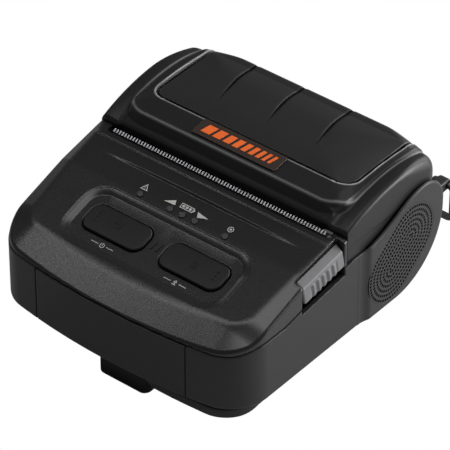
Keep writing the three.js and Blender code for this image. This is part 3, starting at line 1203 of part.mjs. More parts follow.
// Main board and its screws
function boardScrewPlaces() {
  return [-1, 1].map((side) => [side * board.screwX, at(board.rearSetback - board.screwInset)]);
}

function boardSolid() {
  const plate = alongZ(roundedRect(-board.halfWidth, board.halfWidth, at(board.frontSetback),
    at(board.rearSetback),
    board.screwInset, 2), up(board.height), up(board.height) + board.thickness);
  const holes = boardScrewPlaces().map(([x, y]) =>
    discZ(x, y, boardScrew.shankRadius + fit.seat, caseBottom, up(board.height + fit.overrun),
      sides.coarse));
  return cut(plate, ...holes);
}

function boardScrewSolid([x, y]) {
  const top = up(board.height) + board.thickness + fit.seat;
  return join(discZ(x, y, boardScrew.headRadius, top, top + boardScrew.headHeight, sides.coarse),
    discZ(x, y, boardScrew.shankRadius, up(board.height) - boardScrew.postRadius, top + fit.weld / 2,
      sides.coarse));
}

// Charging and data sockets behind a rubber flap in the left wall
const flapAxis = { y: at(socket.centreSetback) - flap.length / 2 + flap.pivotRadius };

function portOpening() {
  const z0 = up(socket.height) - flap.height / 2;
  return box(-drumHalfWidth - fit.overrun, -body.halfWidth + body.wall + fit.weld,
    at(socket.centreSetback) - flap.length / 2 - fit.slide,
      at(socket.centreSetback) + flap.length / 2 + fit.slide,
    z0 - fit.slide, z0 + flap.height + fit.slide);
}

function flapSolid() {
  const x0 = -body.halfWidth;
  const z0 = up(socket.height) - flap.height / 2;
  const leaf = box(x0, x0 + flap.thickness, flapAxis.y, at(socket.centreSetback) + flap.length / 2, z0,
    z0 + flap.height);
  const barrel = discZ(x0 + flap.thickness - flap.pivotRadius, flapAxis.y, flap.pivotRadius, z0,
    z0 + flap.height,
    sides.coarse);
  return join(leaf, barrel);
}

function socketSolid(width, height, y0) {
  const x0 = -body.halfWidth + body.wall + socket.sideGap;
  const z = up(socket.height);
  const shell = box(x0, x0 + socket.depth, y0, y0 + width, z - height / 2, z + height / 2);
  const wall = fit.weld * 1.5;
  const mouth = box(x0 - fit.overrun, x0 + socket.depth - wall * 2, y0 + wall, y0 + width - wall,
    z - height / 2 + wall, z + height / 2 - wall);
  return cut(shell, mouth);
}

// Daughter board that carries both sockets, standing on the case floor
function socketBoardSolid() {
  const x0 = -body.halfWidth + body.wall + socket.sideGap + socket.depth + fit.seat;
  const y0 = at(socket.centreSetback) - flap.length / 2;
  return box(x0, x0 + socket.tray, y0, y0 + flap.length, up(body.floor) + fit.seat,
    up(board.height) - fit.seat);
}

function pinSolid(side) {
  const [x0, x1] = mirrored(side, hinge.barrelHalfLength - hinge.pinInset, hinge.lugX + hinge.lugThickness);
  return discX(hingeAxis, hinge.pinRadius, x0, x1);
}

// Assembly
const jackY = at(socket.centreSetback) - (socket.jackWidth + socket.gap + socket.usbWidth) / 2;

add('lower_case', finishes.sidePlastic, lowerCase());
add('upper_case', finishes.blackPlastic, upperCase());
add('base_plate', finishes.basePlastic, basePlateSolid());
add('belt_clip', finishes.basePlastic, clipSolid());
clipScrewPlaces().forEach((place, i) => add(`clip_screw_${i + 1}`, finishes.steel, clipScrewSolid(place)));
baseScrewPlaces().forEach((place, i) => add(`base_screw_${i + 1}`, finishes.steel, baseScrewSolid(place)));
add('strap_ring_right', finishes.darkSteel, strapRing(1));
add('strap_ring_left', finishes.darkSteel, strapRing(-1));
add('power_button', finishes.keyRubber, keyCap(-1));
add('feed_button', finishes.keyRubber, keyCap(1));
add('power_switch', finishes.innerPlastic, keySwitchSolid(-1));
add('feed_switch', finishes.innerPlastic, keySwitchSolid(1));
add('key_board', finishes.boardGreen, keyBoardSolid());
lampPlaces.forEach(([name, x]) => add(name, finishes.lampPlastic, lampSolid(x)));
add('tear_bar', finishes.steel, tearBar());
add('slot_block', finishes.greyPlastic, slotBlockSolid(1));
add('release_button', finishes.greyPlastic, releaseButton());
add('latch_shaft', finishes.steel, latchShaftSolid());
add('latch_hook_right', finishes.darkSteel, hookSolid(1));
add('latch_hook_left', finishes.darkSteel, hookSolid(-1));
add('print_chassis', finishes.darkSteel, chassisSolid());
add('print_head', finishes.ivoryPlastic, headSolid());
add('head_holder', finishes.steel, holderSolid());
add('head_spring', finishes.steel, leafSpringSolid());
add('stepper_motor', finishes.steel, motorSolid());
add('motor_pinion', finishes.steel, pinionSolid());
add('idler_gear', finishes.ivoryPlastic, gearSolid(idlerAxis, gear.idlerTeeth, gearPhases.idler,
  idler.bore));
add('idler_axle', finishes.steel, idlerAxleSolid());
add('paper_bucket', finishes.innerPlastic, bucketSolid());
add('paper_sensor', finishes.blackPlastic, sensorSolid());
add('hinge_pin_right', finishes.steel, pinSolid(1));
add('hinge_pin_left', finishes.steel, pinSolid(-1));
add('cover_shell', finishes.coverPlastic, coverShell());
add('cover_window', finishes.windowPlastic, windowSolid());
add('label_plate', finishes.labelOrange, labelSolid(0, -label.thickness + label.proud, label.proud));
add('cover_frame', finishes.innerPlastic, coverFrameSolid());
add('platen_bush_right', finishes.ivoryPlastic, bushSolid(1));
add('platen_bush_left', finishes.ivoryPlastic, bushSolid(-1));
add('platen_shaft', finishes.steel, platenShaft());
add('platen_rubber', finishes.rubber, platenRubber());
add('platen_gear', finishes.ivoryPlastic,
  gearSolid(platenAxis, gear.platenTeeth, gearPhases.platen, platen.endRadius + fit.seat));
add('battery_pack', finishes.sidePlastic, batterySolid());
add('battery_latch', finishes.greyPlastic, batteryLatchSolid());
add('battery_terminal', finishes.innerPlastic, terminalSolid());
add('main_board', finishes.boardGreen, boardSolid());
boardScrewPlaces().forEach((place, i) => {
  add(`board_screw_${i + 1}`, finishes.steel, boardScrewSolid(place));
});
add('dc_jack', finishes.innerPlastic, socketSolid(socket.jackWidth, socket.jackHeight, jackY));
add('usb_socket', finishes.steel,
  socketSolid(socket.usbWidth, socket.usbHeight, jackY + socket.jackWidth + socket.gap));
add('socket_board', finishes.boardGreen, socketBoardSolid());
add('port_cover', finishes.rubber, flapSolid());

export default printer;
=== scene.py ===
import json
import math

import bmesh
import bpy
import numpy as np
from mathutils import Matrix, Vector
from mathutils.geometry import delaunay_2d_cdt


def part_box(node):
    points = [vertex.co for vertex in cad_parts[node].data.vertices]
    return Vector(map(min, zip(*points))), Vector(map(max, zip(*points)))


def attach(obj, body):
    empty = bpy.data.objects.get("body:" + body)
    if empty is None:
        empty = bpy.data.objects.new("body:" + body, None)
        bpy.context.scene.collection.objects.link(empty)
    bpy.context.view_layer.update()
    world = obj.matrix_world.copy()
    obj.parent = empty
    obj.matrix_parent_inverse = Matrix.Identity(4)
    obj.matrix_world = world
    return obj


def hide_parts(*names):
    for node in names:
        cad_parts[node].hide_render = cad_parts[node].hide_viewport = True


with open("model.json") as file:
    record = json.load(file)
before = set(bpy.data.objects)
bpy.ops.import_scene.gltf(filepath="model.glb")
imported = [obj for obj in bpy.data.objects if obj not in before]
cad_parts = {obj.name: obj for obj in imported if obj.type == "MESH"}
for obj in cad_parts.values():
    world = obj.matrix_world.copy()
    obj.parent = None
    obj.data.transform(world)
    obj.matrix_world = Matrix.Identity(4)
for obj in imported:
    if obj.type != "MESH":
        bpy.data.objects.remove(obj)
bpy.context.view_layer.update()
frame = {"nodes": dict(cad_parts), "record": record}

MM = 0.001
TAU = 2 * math.pi


class Sizes(dict):
    """Named sizes of one part, in millimetres unless they say otherwise."""
    __getattr__ = dict.__getitem__


def span(node):
    """Lowest and highest corner of a CAD node, in millimetres."""
    low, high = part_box(node)
    return np.array(low) / MM, np.array(high) / MM


# Driving places, read from the frame
CASE_LOW, CASE_HIGH = span("lower_case")
COVER_HIGH = span("cover_shell")[1]
PORT_LOW, PORT_HIGH = span("port_cover")
FRONT = span("battery_pack")[0][1]
TEAR = span("tear_bar")[0][1]
BOTTOM, REAR = CASE_LOW[2], COVER_HIGH[1]
EAR_X, COVER_X = CASE_HIGH[0], COVER_HIGH[0]
EAR_STEP = 1.3
SIDE = EAR_X - EAR_STEP


def at(setback):
    """Y of a place that far behind the front wall."""
    return FRONT + setback


def up(height):
    """Z of a place that high above the case's bottom edge."""
    return BOTTOM + height


# Outlines run past the part at both ends. Heights are above the case's bottom edge
AHEAD, BEYOND = at(-20), at(200)
SEAM_REAR, DRUM_TOP = 33.5, 44.5


def new_object(name, data):
    thing = bpy.data.objects.new(name, data)
    bpy.context.scene.collection.objects.link(thing)
    return thing


# Camera: the photograph's viewing angle
VIEW_AZIMUTH, VIEW_ELEVATION = math.radians(39.1), math.radians(37.8)
VIEW_DISTANCE, VIEW_LENS, VIEW_AIM = 1.4, 296, (0, 0.00125, 0.038)

camera_data = bpy.data.cameras.new("camera")
camera = new_object("camera", camera_data)
back = Vector((
    math.sin(VIEW_AZIMUTH) * math.cos(VIEW_ELEVATION),
    -math.cos(VIEW_AZIMUTH) * math.cos(VIEW_ELEVATION),
    math.sin(VIEW_ELEVATION),
))
camera.location = Vector(VIEW_AIM) + back * VIEW_DISTANCE
camera.rotation_mode = "QUATERNION"
camera.rotation_quaternion = (-back).to_track_quat("-Z", "Y")
camera_data.lens = VIEW_LENS
camera_data.sensor_width = 36
camera_data.clip_start, camera_data.clip_end = 0.05, 20
bpy.context.scene.camera = camera


# Distance fields: negative inside, in millimetres. Round edges come from the radius of each join.
# A factor near 1 keeps the field of a leaning face close to a true distance
def both(a, b, radius=0.0):
    """Where a and b are both solid, with the edge between them rounded."""
    if np.isscalar(radius) and radius <= 0:
        return np.maximum(a, b)
    a, b = a + radius, b + radius
    outside = np.sqrt(np.maximum(a, 0) ** 2 + np.maximum(b, 0) ** 2)
    return np.minimum(np.maximum(a, b), 0) + outside - radius


def blend(a, b, width):
    """Where a and b are both solid, for two faces that meet at a shallow angle."""
    near = np.maximum(width - np.abs(a - b), 0) / width
    return np.maximum(a, b) + near * near * width / 4


def either(a, b, radius=0.0):
    """Where a or b is solid, with the corner between them filled by a fillet."""
    return -both(-a, -b, radius)


def without(a, b, radius=0.0):
    """Where a is solid and b isn't."""
    return both(a, -b, radius)


def rounded(u, v, half_u, half_v, radius):
    """A rectangle with round corners, about the origin."""
    a, b = np.abs(u) - (half_u - radius), np.abs(v) - (half_v - radius)
    corner = np.sqrt(np.maximum(a, 0) ** 2 + np.maximum(b, 0) ** 2)
    return corner + np.minimum(np.maximum(a, b), 0) - radius


def between(w, low, high):
    """The slab from low to high."""
    return np.maximum(low - w, w - high)


def disc(u, v, centre_u, centre_v, radius):
    return np.sqrt((u - centre_u) ** 2 + (v - centre_v) ** 2) - radius


def ease(t):
    """0 before 0, 1 after 1, and a smooth step between."""
    t = np.clip(t, 0, 1)
    return t * t * (3 - 2 * t)


def bezier(*points, count=48):
    """Points along a curve with these control points."""
    t = np.linspace(0, 1, count)[:, None]
    rows = [np.array(p, float) + 0 * t for p in points]
    while len(rows) > 1:
        rows = [a + (b - a) * t for a, b in zip(rows, rows[1:])]
    return rows[0]


def below_line(y, z, line):
    """Distance above a line given as points in Y and Z, with Y growing."""
    height = np.interp(y, line[:, 0], line[:, 1])
    slope = np.interp(y, line[:, 0], np.gradient(line[:, 1], line[:, 0]))
    return (z - height) / np.sqrt(1 + slope ** 2)


# From a field to a closed mesh
BLOCK, BLOCK_REACH, BATCH = 10, 1.5, 600
SETTLE_ROUNDS, SETTLE_REACH, LEAST_SLOPE = 4, 0.7, 0.2
QUICK_CELL, NORMAL_REACH = 1.6, 0.12


def sample(field, low, high, step):
    """Field values on a grid. Blocks far from the surface only get the sign of their middle."""
    low, high = np.array(low, float) - 2 * step, np.array(high, float) + 2 * step
    blocks = np.ceil((high - low) / (BLOCK * step)).astype(int)
    centres = [low[k] + (np.arange(blocks[k]) + 0.5) * BLOCK * step for k in range(3)]
    x, y, z = np.meshgrid(*centres, indexing="ij")
    middle = field(x, y, z)
    values = np.where(middle < 0, -1.0, 1.0).astype(np.float32)
    values = values.repeat(BLOCK, 0).repeat(BLOCK, 1).repeat(BLOCK, 2)
    near = np.argwhere(np.abs(middle) < BLOCK * step * BLOCK_REACH)
    offsets = np.arange(BLOCK) * step
    blocked = values.reshape(blocks[0], BLOCK, blocks[1], BLOCK, blocks[2], BLOCK)
    for start in range(0, len(near), BATCH):
        batch = near[start:start + BATCH]
        axes = [low[k] + batch[:, k, None] * BLOCK * step + offsets for k in range(3)]
        got = field(axes[0][:, :, None, None], axes[1][:, None, :, None], axes[2][:, None, None, :])
        got = np.broadcast_to(got, (len(batch), BLOCK, BLOCK, BLOCK))
        blocked[batch[:, 0], :, batch[:, 1], :, batch[:, 2], :] = got
    for k in range(3):
        values.swapaxes(0, k)[[0, -1]] = 1
    return values, low


def surface_net(values, low, step):
    """One vertex in each cell that the surface crosses, and a face across each crossed edge."""
    inside = values < 0
    nx, ny, nz = np.array(inside.shape) - 1
    count = sum(inside[i:nx + i, j:ny + j, k:nz + k].astype(np.int8)
                for i in (0, 1) for j in (0, 1) for k in (0, 1))
    cells = np.argwhere((count > 0) & (count < 8))
    index = np.full(count.shape, -1, np.int32)
    index[tuple(cells.T)] = np.arange(len(cells))
    total, hits = np.zeros((len(cells), 3)), np.zeros((len(cells), 1))
    for axis in range(3):
        for first in (0, 1):
            for second in (0, 1):
                corner = np.zeros(3, int)
                corner[(axis + 1) % 3], corner[(axis + 2) % 3] = first, second
                ahead = corner.copy()
                ahead[axis] = 1
                a = values[tuple((cells + corner).T)].astype(float)
                b = values[tuple((cells + ahead).T)].astype(float)
                crossing = (a < 0) != (b < 0)
                share = np.where(crossing, a / np.where(crossing, a - b, 1), 0)
                point = corner + share[:, None] * (ahead - corner)
                total += np.where(crossing[:, None], point, 0)
                hits += crossing[:, None]
    vertices = low + (cells + total / hits) * step
    faces = []
    for axis in range(3):
        one, two = np.eye(3, dtype=int)[(axis + 1) % 3], np.eye(3, dtype=int)[(axis + 2) % 3]
        ahead = np.eye(3, dtype=int)[axis]
        limit = np.array(inside.shape) - ahead
        here = inside[:limit[0], :limit[1], :limit[2]]
        there = inside[ahead[0]:, ahead[1]:, ahead[2]:]
        spots = np.argwhere(here != there)
        spots = spots[np.all(spots - one - two >= 0, axis=1)]
        quad = [index[tuple((spots - shift).T)] for shift in (0 * one, one, one + two, two)]
        quad = np.stack(quad, 1)
        entering = ~inside[tuple(spots.T)]
        quad[entering] = quad[entering][:, ::-1]
        faces.append(quad)
    return vertices, np.concatenate(faces)


def slope_of(field, points, reach=0.04):
    """Gradient of the field at these points."""
    parts = []
    for k in range(3):
        step = np.zeros(3)
        step[k] = reach
        parts.append((field(*(points + step).T) - field(*(points - step).T)) / (2 * reach))
    return np.stack(parts, 1)


def settle(field, vertices, step):
    """Slides each vertex onto the surface, by no more than a cell."""
    start = vertices.copy()
    for _ in range(SETTLE_ROUNDS):
        gradient = slope_of(field, vertices)
        size = np.maximum((gradient ** 2).sum(1), LEAST_SLOPE)
        vertices = vertices - (field(*vertices.T) / size)[:, None] * gradient
        vertices = start + np.clip(vertices - start, -SETTLE_REACH * step, SETTLE_REACH * step)
    return vertices


def baked(piece):
    """Applies the piece's modifiers."""
    bpy.context.view_layer.update()
    mesh = bpy.data.meshes.new_from_object(piece.evaluated_get(bpy.context.evaluated_depsgraph_get()))
    piece.modifiers.clear()
    piece.data = mesh
    return piece


def moulded(name, field, low, high, step, keep):
    """A closed piece with the field's surface, thinned to that share of its faces, shaded by the slope."""
    values, origin = sample(field, low, high, step)
    vertices, faces = surface_net(values, origin, step)
    vertices = settle(field, vertices, step)
    mesh = bpy.data.meshes.new(name)
    mesh.from_pydata(vertices * MM, [], faces)
    piece = new_object(name, mesh)
    thin = piece.modifiers.new("thin", "DECIMATE")
    thin.ratio = keep
    baked(piece)
    co = np.zeros(len(piece.data.vertices) * 3)
    piece.data.vertices.foreach_get("co", co)
    normals = slope_of(field, co.reshape(-1, 3) / MM, NORMAL_REACH)
    normals /= np.maximum(np.linalg.norm(normals, axis=1), 1e-6)[:, None]
    piece.data.shade_smooth()
    piece.data.normals_split_custom_set_from_vertices(normals.tolist())
    return piece


# Case seen from above: a bowed front with round corners
BOW, FRONT_CORNER, REAR_CORNER = 280, 14, 6


def plan(x, y, inset):
    bow = disc(x, y, 0, FRONT + BOW, BOW - inset)
    side = np.abs(x) - (SIDE - inset)
    ends = both(side, bow, FRONT_CORNER - inset)
    return both(ends, y - (REAR - inset), max(REAR_CORNER - inset, 1))


# Seam between the lower and the upper case
SEAM = np.array([
    (AHEAD, up(24.5)), (at(8), up(24.5)), (at(18), up(26.7)), (at(31.5), up(26.7)), (at(44), up(29)),
    (at(72), up(SEAM_REAR)), (BEYOND, up(SEAM_REAR)),
])
SEAT = 0.3


def seam_height(y):
    return np.interp(y, SEAM[:, 0], SEAM[:, 1])


# Tilted frames, each given by the Y, Z and angle of its middle
def tilted(x, y, z, middle):
    """Across, up the slope and out of a tilted frame."""
    y0, z0, angle = middle
    c, s = math.cos(angle), math.sin(angle)
    return x, (y - y0) * c + (z - z0) * s, (z - z0) * c - (y - y0) * s


def from_tilted(middle):
    """Turns a place in a tilted frame into a world place."""
    y0, z0, angle = middle
    c, s = math.cos(angle), math.sin(angle)
    return lambda u, v, w: Vector((u, y0 + v * c - w * s, z0 + v * s + w * c)) * MM


# Upper case
SLOPE, CREASE, CREASE_HEIGHT, BEND, TEAR_HEIGHT = 0.3, 11.5, 31.4, 44.9, 45.2
WALL = 2.2
UPPER = Sizes(end=TEAR + 2.85, inset=0.4, edge=1.1, band_scale=1.12, soft=0.15, rim_soft=0.05, band_soft=0.5)
BAND = Sizes(front_slope=0.24, side_slope=0.33, turn=6, width=3.7, growth=3.8, run=46.6,
             corner=4.2, corner_rear=22, corner_run=9)
SLOT = Sizes(half=53.4, ramp=1.4, ramp_slope=0.8, ramp_scale=0.78, throat=4.5, throat_gap=0.8)
RECESS = Sizes(half_u=39, half_v=14, corner=9.5, sink=1.2, slope=2.7, floor=1.6, setback=28.8, scale=0.92,
               edge=0.7)
KEY = Sizes(centre=18.5, half_u=14.3, half_v=6.2, corner=4.4, proud=1.0, dome=0.12, round=0.7, setback=29.15,
            gap=0.4, flange=0.9, flange_thick=1, stem=1.4, stem_low=-5.1)
LAMP_SETBACK, LAMP_X, LAMP_HOLE = 44.95, (-20.4, -5.9, 0, 5.9, 20.4), 1.35
TAPER = Sizes(y=TEAR - 10.3, half=49.5, rise=0.8, front=0.9, flat=0.5, depth=6.5)
LIP_BAND = Sizes(rise=0.3, front=TEAR - 4.2, front_run=0.5, rear=TEAR - 1.4, rear_run=0.6)
OPENING = Sizes(inner=55.7, front=41.4, rear=66.2)
NOTCH = Sizes(inner=52.5, front=40.9, rear=66.4, floor=27, setback=43.5, rise=3, run=26.9)


def panel_middle(setback):
    return at(setback), up(CREASE_HEIGHT + SLOPE * (setback - CREASE)), math.atan(SLOPE)


def panel_height(y):
    bend = up(CREASE_HEIGHT + SLOPE * (BEND - CREASE))
    rear_slope = (up(TEAR_HEIGHT) - bend) / (TEAR - at(BEND))
    first = up(CREASE_HEIGHT) + SLOPE * (y - at(CREASE))
    second = up(TEAR_HEIGHT) + rear_slope * (y - TEAR)
    return first, second, rear_slope


def taper(x, y):
    """Raised strip behind a tapered line across the panel."""
    rise = TAPER.rise * np.clip(1 - (x / TAPER.half) ** 2, 0, 1)
    step = ease((y - TAPER.y + TAPER.front / 2) / TAPER.front)
    fade = 1 - ease((y - TAPER.y - TAPER.flat) / TAPER.depth)
    return rise * step * fade


def lip_band(y):
    """Low bead across the panel in front of the tear slot."""
    b = LIP_BAND
    return b.rise * ease((y - b.front) / b.front_run) * ease((b.rear - y) / b.rear_run)


def band_slope(x, y):
    """Slope of the bevelled edge: steep along the sides, gentle along the front."""
    across = np.maximum(np.abs(x) - (SIDE - FRONT_CORNER), 0)
    ahead = np.maximum(at(FRONT_CORNER + BAND.turn) - y, 0)
    side = across ** 2 / np.maximum(across ** 2 + ahead ** 2, 1e-6)
    return BAND.front_slope + (BAND.side_slope - BAND.front_slope) * side


def band_width(y):
    """How far in from the outline the crease runs."""
    side = BAND.width + (TEAR - y) * BAND.growth / BAND.run
    return np.maximum(side, BAND.width) + BAND.corner * ease((at(BAND.corner_rear) - y) / BAND.corner_run)


def upper_outside(x, y, z):
    first, second, rear_slope = panel_height(y)
    top = blend((z - first) / math.hypot(1, SLOPE), (z - second) / math.hypot(1, rear_slope), UPPER.soft)
    top = blend(top, z - up(TEAR_HEIGHT), UPPER.rim_soft) - taper(x, y) - lip_band(y)
    inwards = -plan(x, y, 0) - band_width(y)
    band = (z - np.minimum(first, second) - band_slope(x, y) * inwards) / UPPER.band_scale
    return both(blend(top, band, UPPER.band_soft), plan(x, y, UPPER.inset), UPPER.edge)


def key_outline(u, v, side, grow):
    return rounded(u - side * KEY.centre, v, KEY.half_u + grow, KEY.half_v + grow, KEY.corner + grow)


def upper_case(x, y, z):
    solid = both(upper_outside(x, y, z), y - UPPER.end, 0.3)
    shell = without(solid, solid + WALL)
    slot = both(np.abs(x) - SLOT.half, TEAR - SEAT - y)
    shell = without(shell, slot, 0.2)
    ramp = (up(TEAR_HEIGHT) - (y - TEAR + SLOT.ramp) * SLOT.ramp_slope - z) * SLOT.ramp_scale
    shell = without(shell, both(np.abs(x) - SLOT.half, ramp), 0.2)
    u, v, w = tilted(x, y, z, panel_middle(RECESS.setback))
    edge = rounded(u, v, RECESS.half_u, RECESS.half_v, RECESS.corner)
    shell = either(shell, both(edge, between(w, -RECESS.sink - RECESS.floor, 0)))
    depth = np.minimum(RECESS.sink, -edge * RECESS.sink / RECESS.slope)
    shell = without(shell, both(-(w + depth) * RECESS.scale, edge), RECESS.edge)
    u, v, w = tilted(x, y, z, panel_middle(KEY.setback))
    holes = np.minimum(key_outline(u, v, 1, KEY.gap), key_outline(u, v, -1, KEY.gap))
    shell = without(shell, holes, 0.3)
    u, v, w = tilted(x, y, z, panel_middle(LAMP_SETBACK))
    lamps = np.minimum.reduce([disc(u, v, place, 0, LAMP_HOLE) for place in LAMP_X])
    shell = without(shell, lamps, 0.2)
    opening = both(OPENING.inner - x, between(y, at(OPENING.front), at(OPENING.rear)))
    shell = without(shell, opening, 0.3)
    throat = both(TEAR - WALL - SLOT.throat_gap - y, z - up(TEAR_HEIGHT - SLOT.throat))
    shell = without(shell, both(np.abs(x) - SLOT.half, throat))
    return both(shell, seam_height(y) + SEAT - z, 0.3)


# Lower case: tray, round drum ends and lugs
DRUM = Sizes(radius=29.2, front=78.3, shoulder=13, inner=EAR_X - 1.7, edge=1.1, lead=3,
             sunk=0.3, rise_from=2.5, rise_run=5.5, face_scale=0.94)
GRILLE = Sizes(y=30.75, z=37, along=(0.794, 0.608), straight=7.25, radius=14, depth=0.95, thick=0.75,
               rings=7, first_ring=1, ring_step=2.0, dot_step=1.5, dot=0.58, inside_dot=0.93, pit=0.6,
               recess=0.03, overlap=0.04)
RISE = bezier((at(72), up(SEAM_REAR)), (at(95), up(35.3)), (at(100), up(DRUM_TOP)), (REAR - 13, up(DRUM_TOP)))
TRAY = Sizes(back=0.4, edge=1.2)
POCKET = Sizes(gap=1.8, radius=27.4, lead=6)
PACK_ROOM = Sizes(half=36.2, front=5.4, top=30)
PORT = Sizes(gap=0.3, front_gap=0.7, depth=0.5)
HINGE = Sizes(y=REAR - 4, z=up(33.2), lug=3.4, lug_inner=50.6, lug_outer=54.6, room=4.8, barrel=3.6,
              barrel_half=50.2, lug_room=4, lug_room_outer=55, pin=1.6, pin_inner=43.9, pin_outer=60)
LUG = Sizes(x0=51.4, x1=56.4, top=31.6, depth=4.6, reach=11.5, corner=2.2, under_corner=2, edge=0.8,
            slant=0.55, scale=0.88, root=1.8, eye=1.6)


def drum_end(y, z, inset):
    low = both(BOTTOM + inset - z, y - (REAR - inset), DRUM.radius - inset)
    line = np.vstack([[(AHEAD, up(SEAM_REAR))], RISE, [(BEYOND, up(DRUM_TOP))]])
    high = both(below_line(y, z, line) + inset, y - (REAR - inset), DRUM.shoulder - inset)
    return both(low, high)


def ear_face(y):
    """Outer face of the drum end, easing out of the case's side."""
    share = ease((y - at(DRUM.front - DRUM.rise_from)) / DRUM.rise_run)
    return EAR_X - (EAR_X - SIDE + DRUM.sunk) * (1 - share)


def grille_plan(y, z):
    """Long round outline of the grille on the drum end."""
    c, s = GRILLE.along
    p = (y - GRILLE.y) * c + (z - GRILLE.z) * s
    q = (z - GRILLE.z) * c - (y - GRILLE.y) * s
    return np.sqrt(np.maximum(np.abs(p) - GRILLE.straight, 0) ** 2 + q ** 2) - GRILLE.radius


def tray(x, y, z, inset):
    side = both(BOTTOM + inset - z, y - (REAR - TRAY.back - inset), DRUM.radius - TRAY.back - inset)
    return both(side, plan(x, y, inset), TRAY.edge if inset == 0 else 0)


def lower_case(x, y, z):
    shell = without(tray(x, y, z, 0), tray(x, y, z, WALL))
    shell = both(shell, z - seam_height(y), 0.3)
    within = np.abs(x) - DRUM.inner
    face = np.maximum(-within, (np.abs(x) - ear_face(y)) * DRUM.face_scale)
    ends = both(both(drum_end(y, z, 0), face, DRUM.edge), at(DRUM.front - DRUM.lead) - y)
    shell = either(shell, ends, 0.8)
    shell = without(shell, both(grille_plan(y, z), EAR_X - GRILLE.depth - np.abs(x)))
    round_end = both(y - REAR + POCKET.gap, at(DRUM.front) + POCKET.gap - y)
    shell = without(shell, both(within, both(BOTTOM + POCKET.gap - z, round_end, POCKET.radius)))
    rear_room = both(within, both(HINGE.y - y, HINGE.z - z))
    above = both(within, both(at(DRUM.front) - POCKET.lead - y, up(SEAM_REAR) - z))
    shell = without(without(shell, rear_room), above)
    shell = without(shell, both(within, disc(y, z, HINGE.y, HINGE.z, HINGE.room)))
    battery = both(np.abs(x) - PACK_ROOM.half, both(y - at(PACK_ROOM.front), z - up(PACK_ROOM.top)))
    shell = without(shell, battery, 0.25)
    port = both(between(y, PORT_LOW[1] - PORT.front_gap, PORT_HIGH[1] + PORT.gap),
                between(z, PORT_LOW[2] - PORT.gap, PORT_HIGH[2] + PORT.gap))
    shell = without(shell, both(x + SIDE - WALL - PORT.depth, port), 0.2)
    floor = up(NOTCH.floor) + (y - at(NOTCH.setback)) * NOTCH.rise / NOTCH.run
    notch = both(NOTCH.inner - x, both(between(y, at(NOTCH.front), at(NOTCH.rear)), floor - z))
    shell = without(shell, notch, 0.3)
    return either(shell, lugs(x, y, z), 0.4)


def lugs(x, y, z):
    """Hinge lugs, and the arms behind them that hold the strap rings."""
    hinge = disc(y, z, HINGE.y, HINGE.z, HINGE.lug)
    hinge = both(hinge, between(np.abs(x), HINGE.lug_inner, HINGE.lug_outer), 0.3)
    top, end = up(LUG.top), REAR + LUG.reach
    arm = both(z - top, y - end, LUG.corner)
    under = (top - LUG.depth - z - np.maximum(end - LUG.depth - y, 0) * LUG.slant) * LUG.scale
    arm = both(both(arm, under, LUG.under_corner), between(np.abs(x), LUG.x0, LUG.x1), LUG.edge)
    arm = both(arm, REAR - LUG.root - y)
    eye = disc(y, z, end - LUG.depth / 2, top - LUG.depth / 2, LUG.eye)
    return np.minimum(hinge, without(arm, eye, 0.3))


# Cover: low body, raised ridge and apron in front of it
LIP, LIP_HEIGHT = TEAR + 3.1, 46.4
LOW_LINE = np.vstack([
    [(at(0), up(43))],
    bezier((LIP, up(47.3)), (at(84), up(54.6)), (at(104), up(56.8)), (REAR - 8, up(52.4))),
    [(REAR + 3, up(49.5))],
])
LOW = Sizes(drop=0.8, half=47, width=9, bevel=1.4, bevel_along=0.91, bevel_across=0.42, rear_radius=6.5,
            edge=1.2, rear_edge=3.0, edge_from=98, edge_run=22)
RIDGE = Sizes(half=53.4, front=72.1, corner=11, base=51.0, rear_radius=3.5, side_radius=8.5, past=6,
              side_from=34, side_run=18, across_scale=0.9, edge=1.6, fillet=2.0)
RIDGE_LINE = bezier((at(72.1), up(53.4)), (at(101), up(58.6)), (REAR - 6, up(54.4)))
ACROSS = np.array([(0, 56.1), (27, 56.1), (37, 55.53), (47, 54.4), (51.2, 53.3), (53.4, 50.0), (70, 20)])
APRON = Sizes(half=49.5, low=46.8, high=51.0, run=3.8, past=11, edge=0.6, fillet=3)
WINDOW = Sizes(half=47, corner=6, front=84.2, reach=60, sink=0.5, thick=1.3, end=40, gap=1.3,
               bead=0.3, bead_at=1.1, bead_width=0.5, bead_end=100, bead_run=14)
SHELL = Sizes(wall=2.0, pocket=2.2, backing=2.0, skirt=33.9, rear_cut=34.4, lip_half=56.8, lip_low=2.6,
              lip_front=1, lip_rear=2.6, web_front=2, web_rear=0.4, web_top=36.4)
GROOVE = Sizes(places=(-23.2, 0, 23.2), front=95.5, rear=REAR - 1.2, bend=4.6, half=0.5, tip=0.06,
               dent=0.3, width=0.8, sunk=-0.04, proud=0.3)
LABEL = Sizes(half_u=20, half_v=4.3, corner=1, setback=78.6, lift=0.2, low=-0.55, high=0.25, gap=0.15,
              recess=-0.9, above=6)
CORNER = Sizes(top=8, low=16, step=40.7)


def cover_plan(x, y, z, inset):
    """The cover from above: small rear corners high up, larger ones level with the strap lugs."""
    side, rear = np.abs(x) - (COVER_X - inset), y - (REAR - inset)
    high = both(side, rear, CORNER.top - inset)
    low = both(side, rear, CORNER.low - inset)
    corners = both(high, either(low, up(CORNER.step) + inset - z, 1), 0.5)
    return both(corners, LIP + inset - y)


def low_cover(x, y, z, inset):
    line = below_line(y, z, LOW_LINE) + inset
    line = line + LOW.drop * (1 - ease((np.abs(x) - LOW.half) / LOW.width))
    side = np.abs(x) - (COVER_X - inset)
    bevel = line * LOW.bevel_along + (side + LOW.bevel) * LOW.bevel_across
    top = both(blend(line, bevel, 0.4), y - (REAR - inset), LOW.rear_radius)
    edge = LOW.edge + LOW.rear_edge * ease((y - at(LOW.edge_from)) / LOW.edge_run)
    return both(top, cover_plan(x, y, z, inset), edge if inset == 0 else 0)


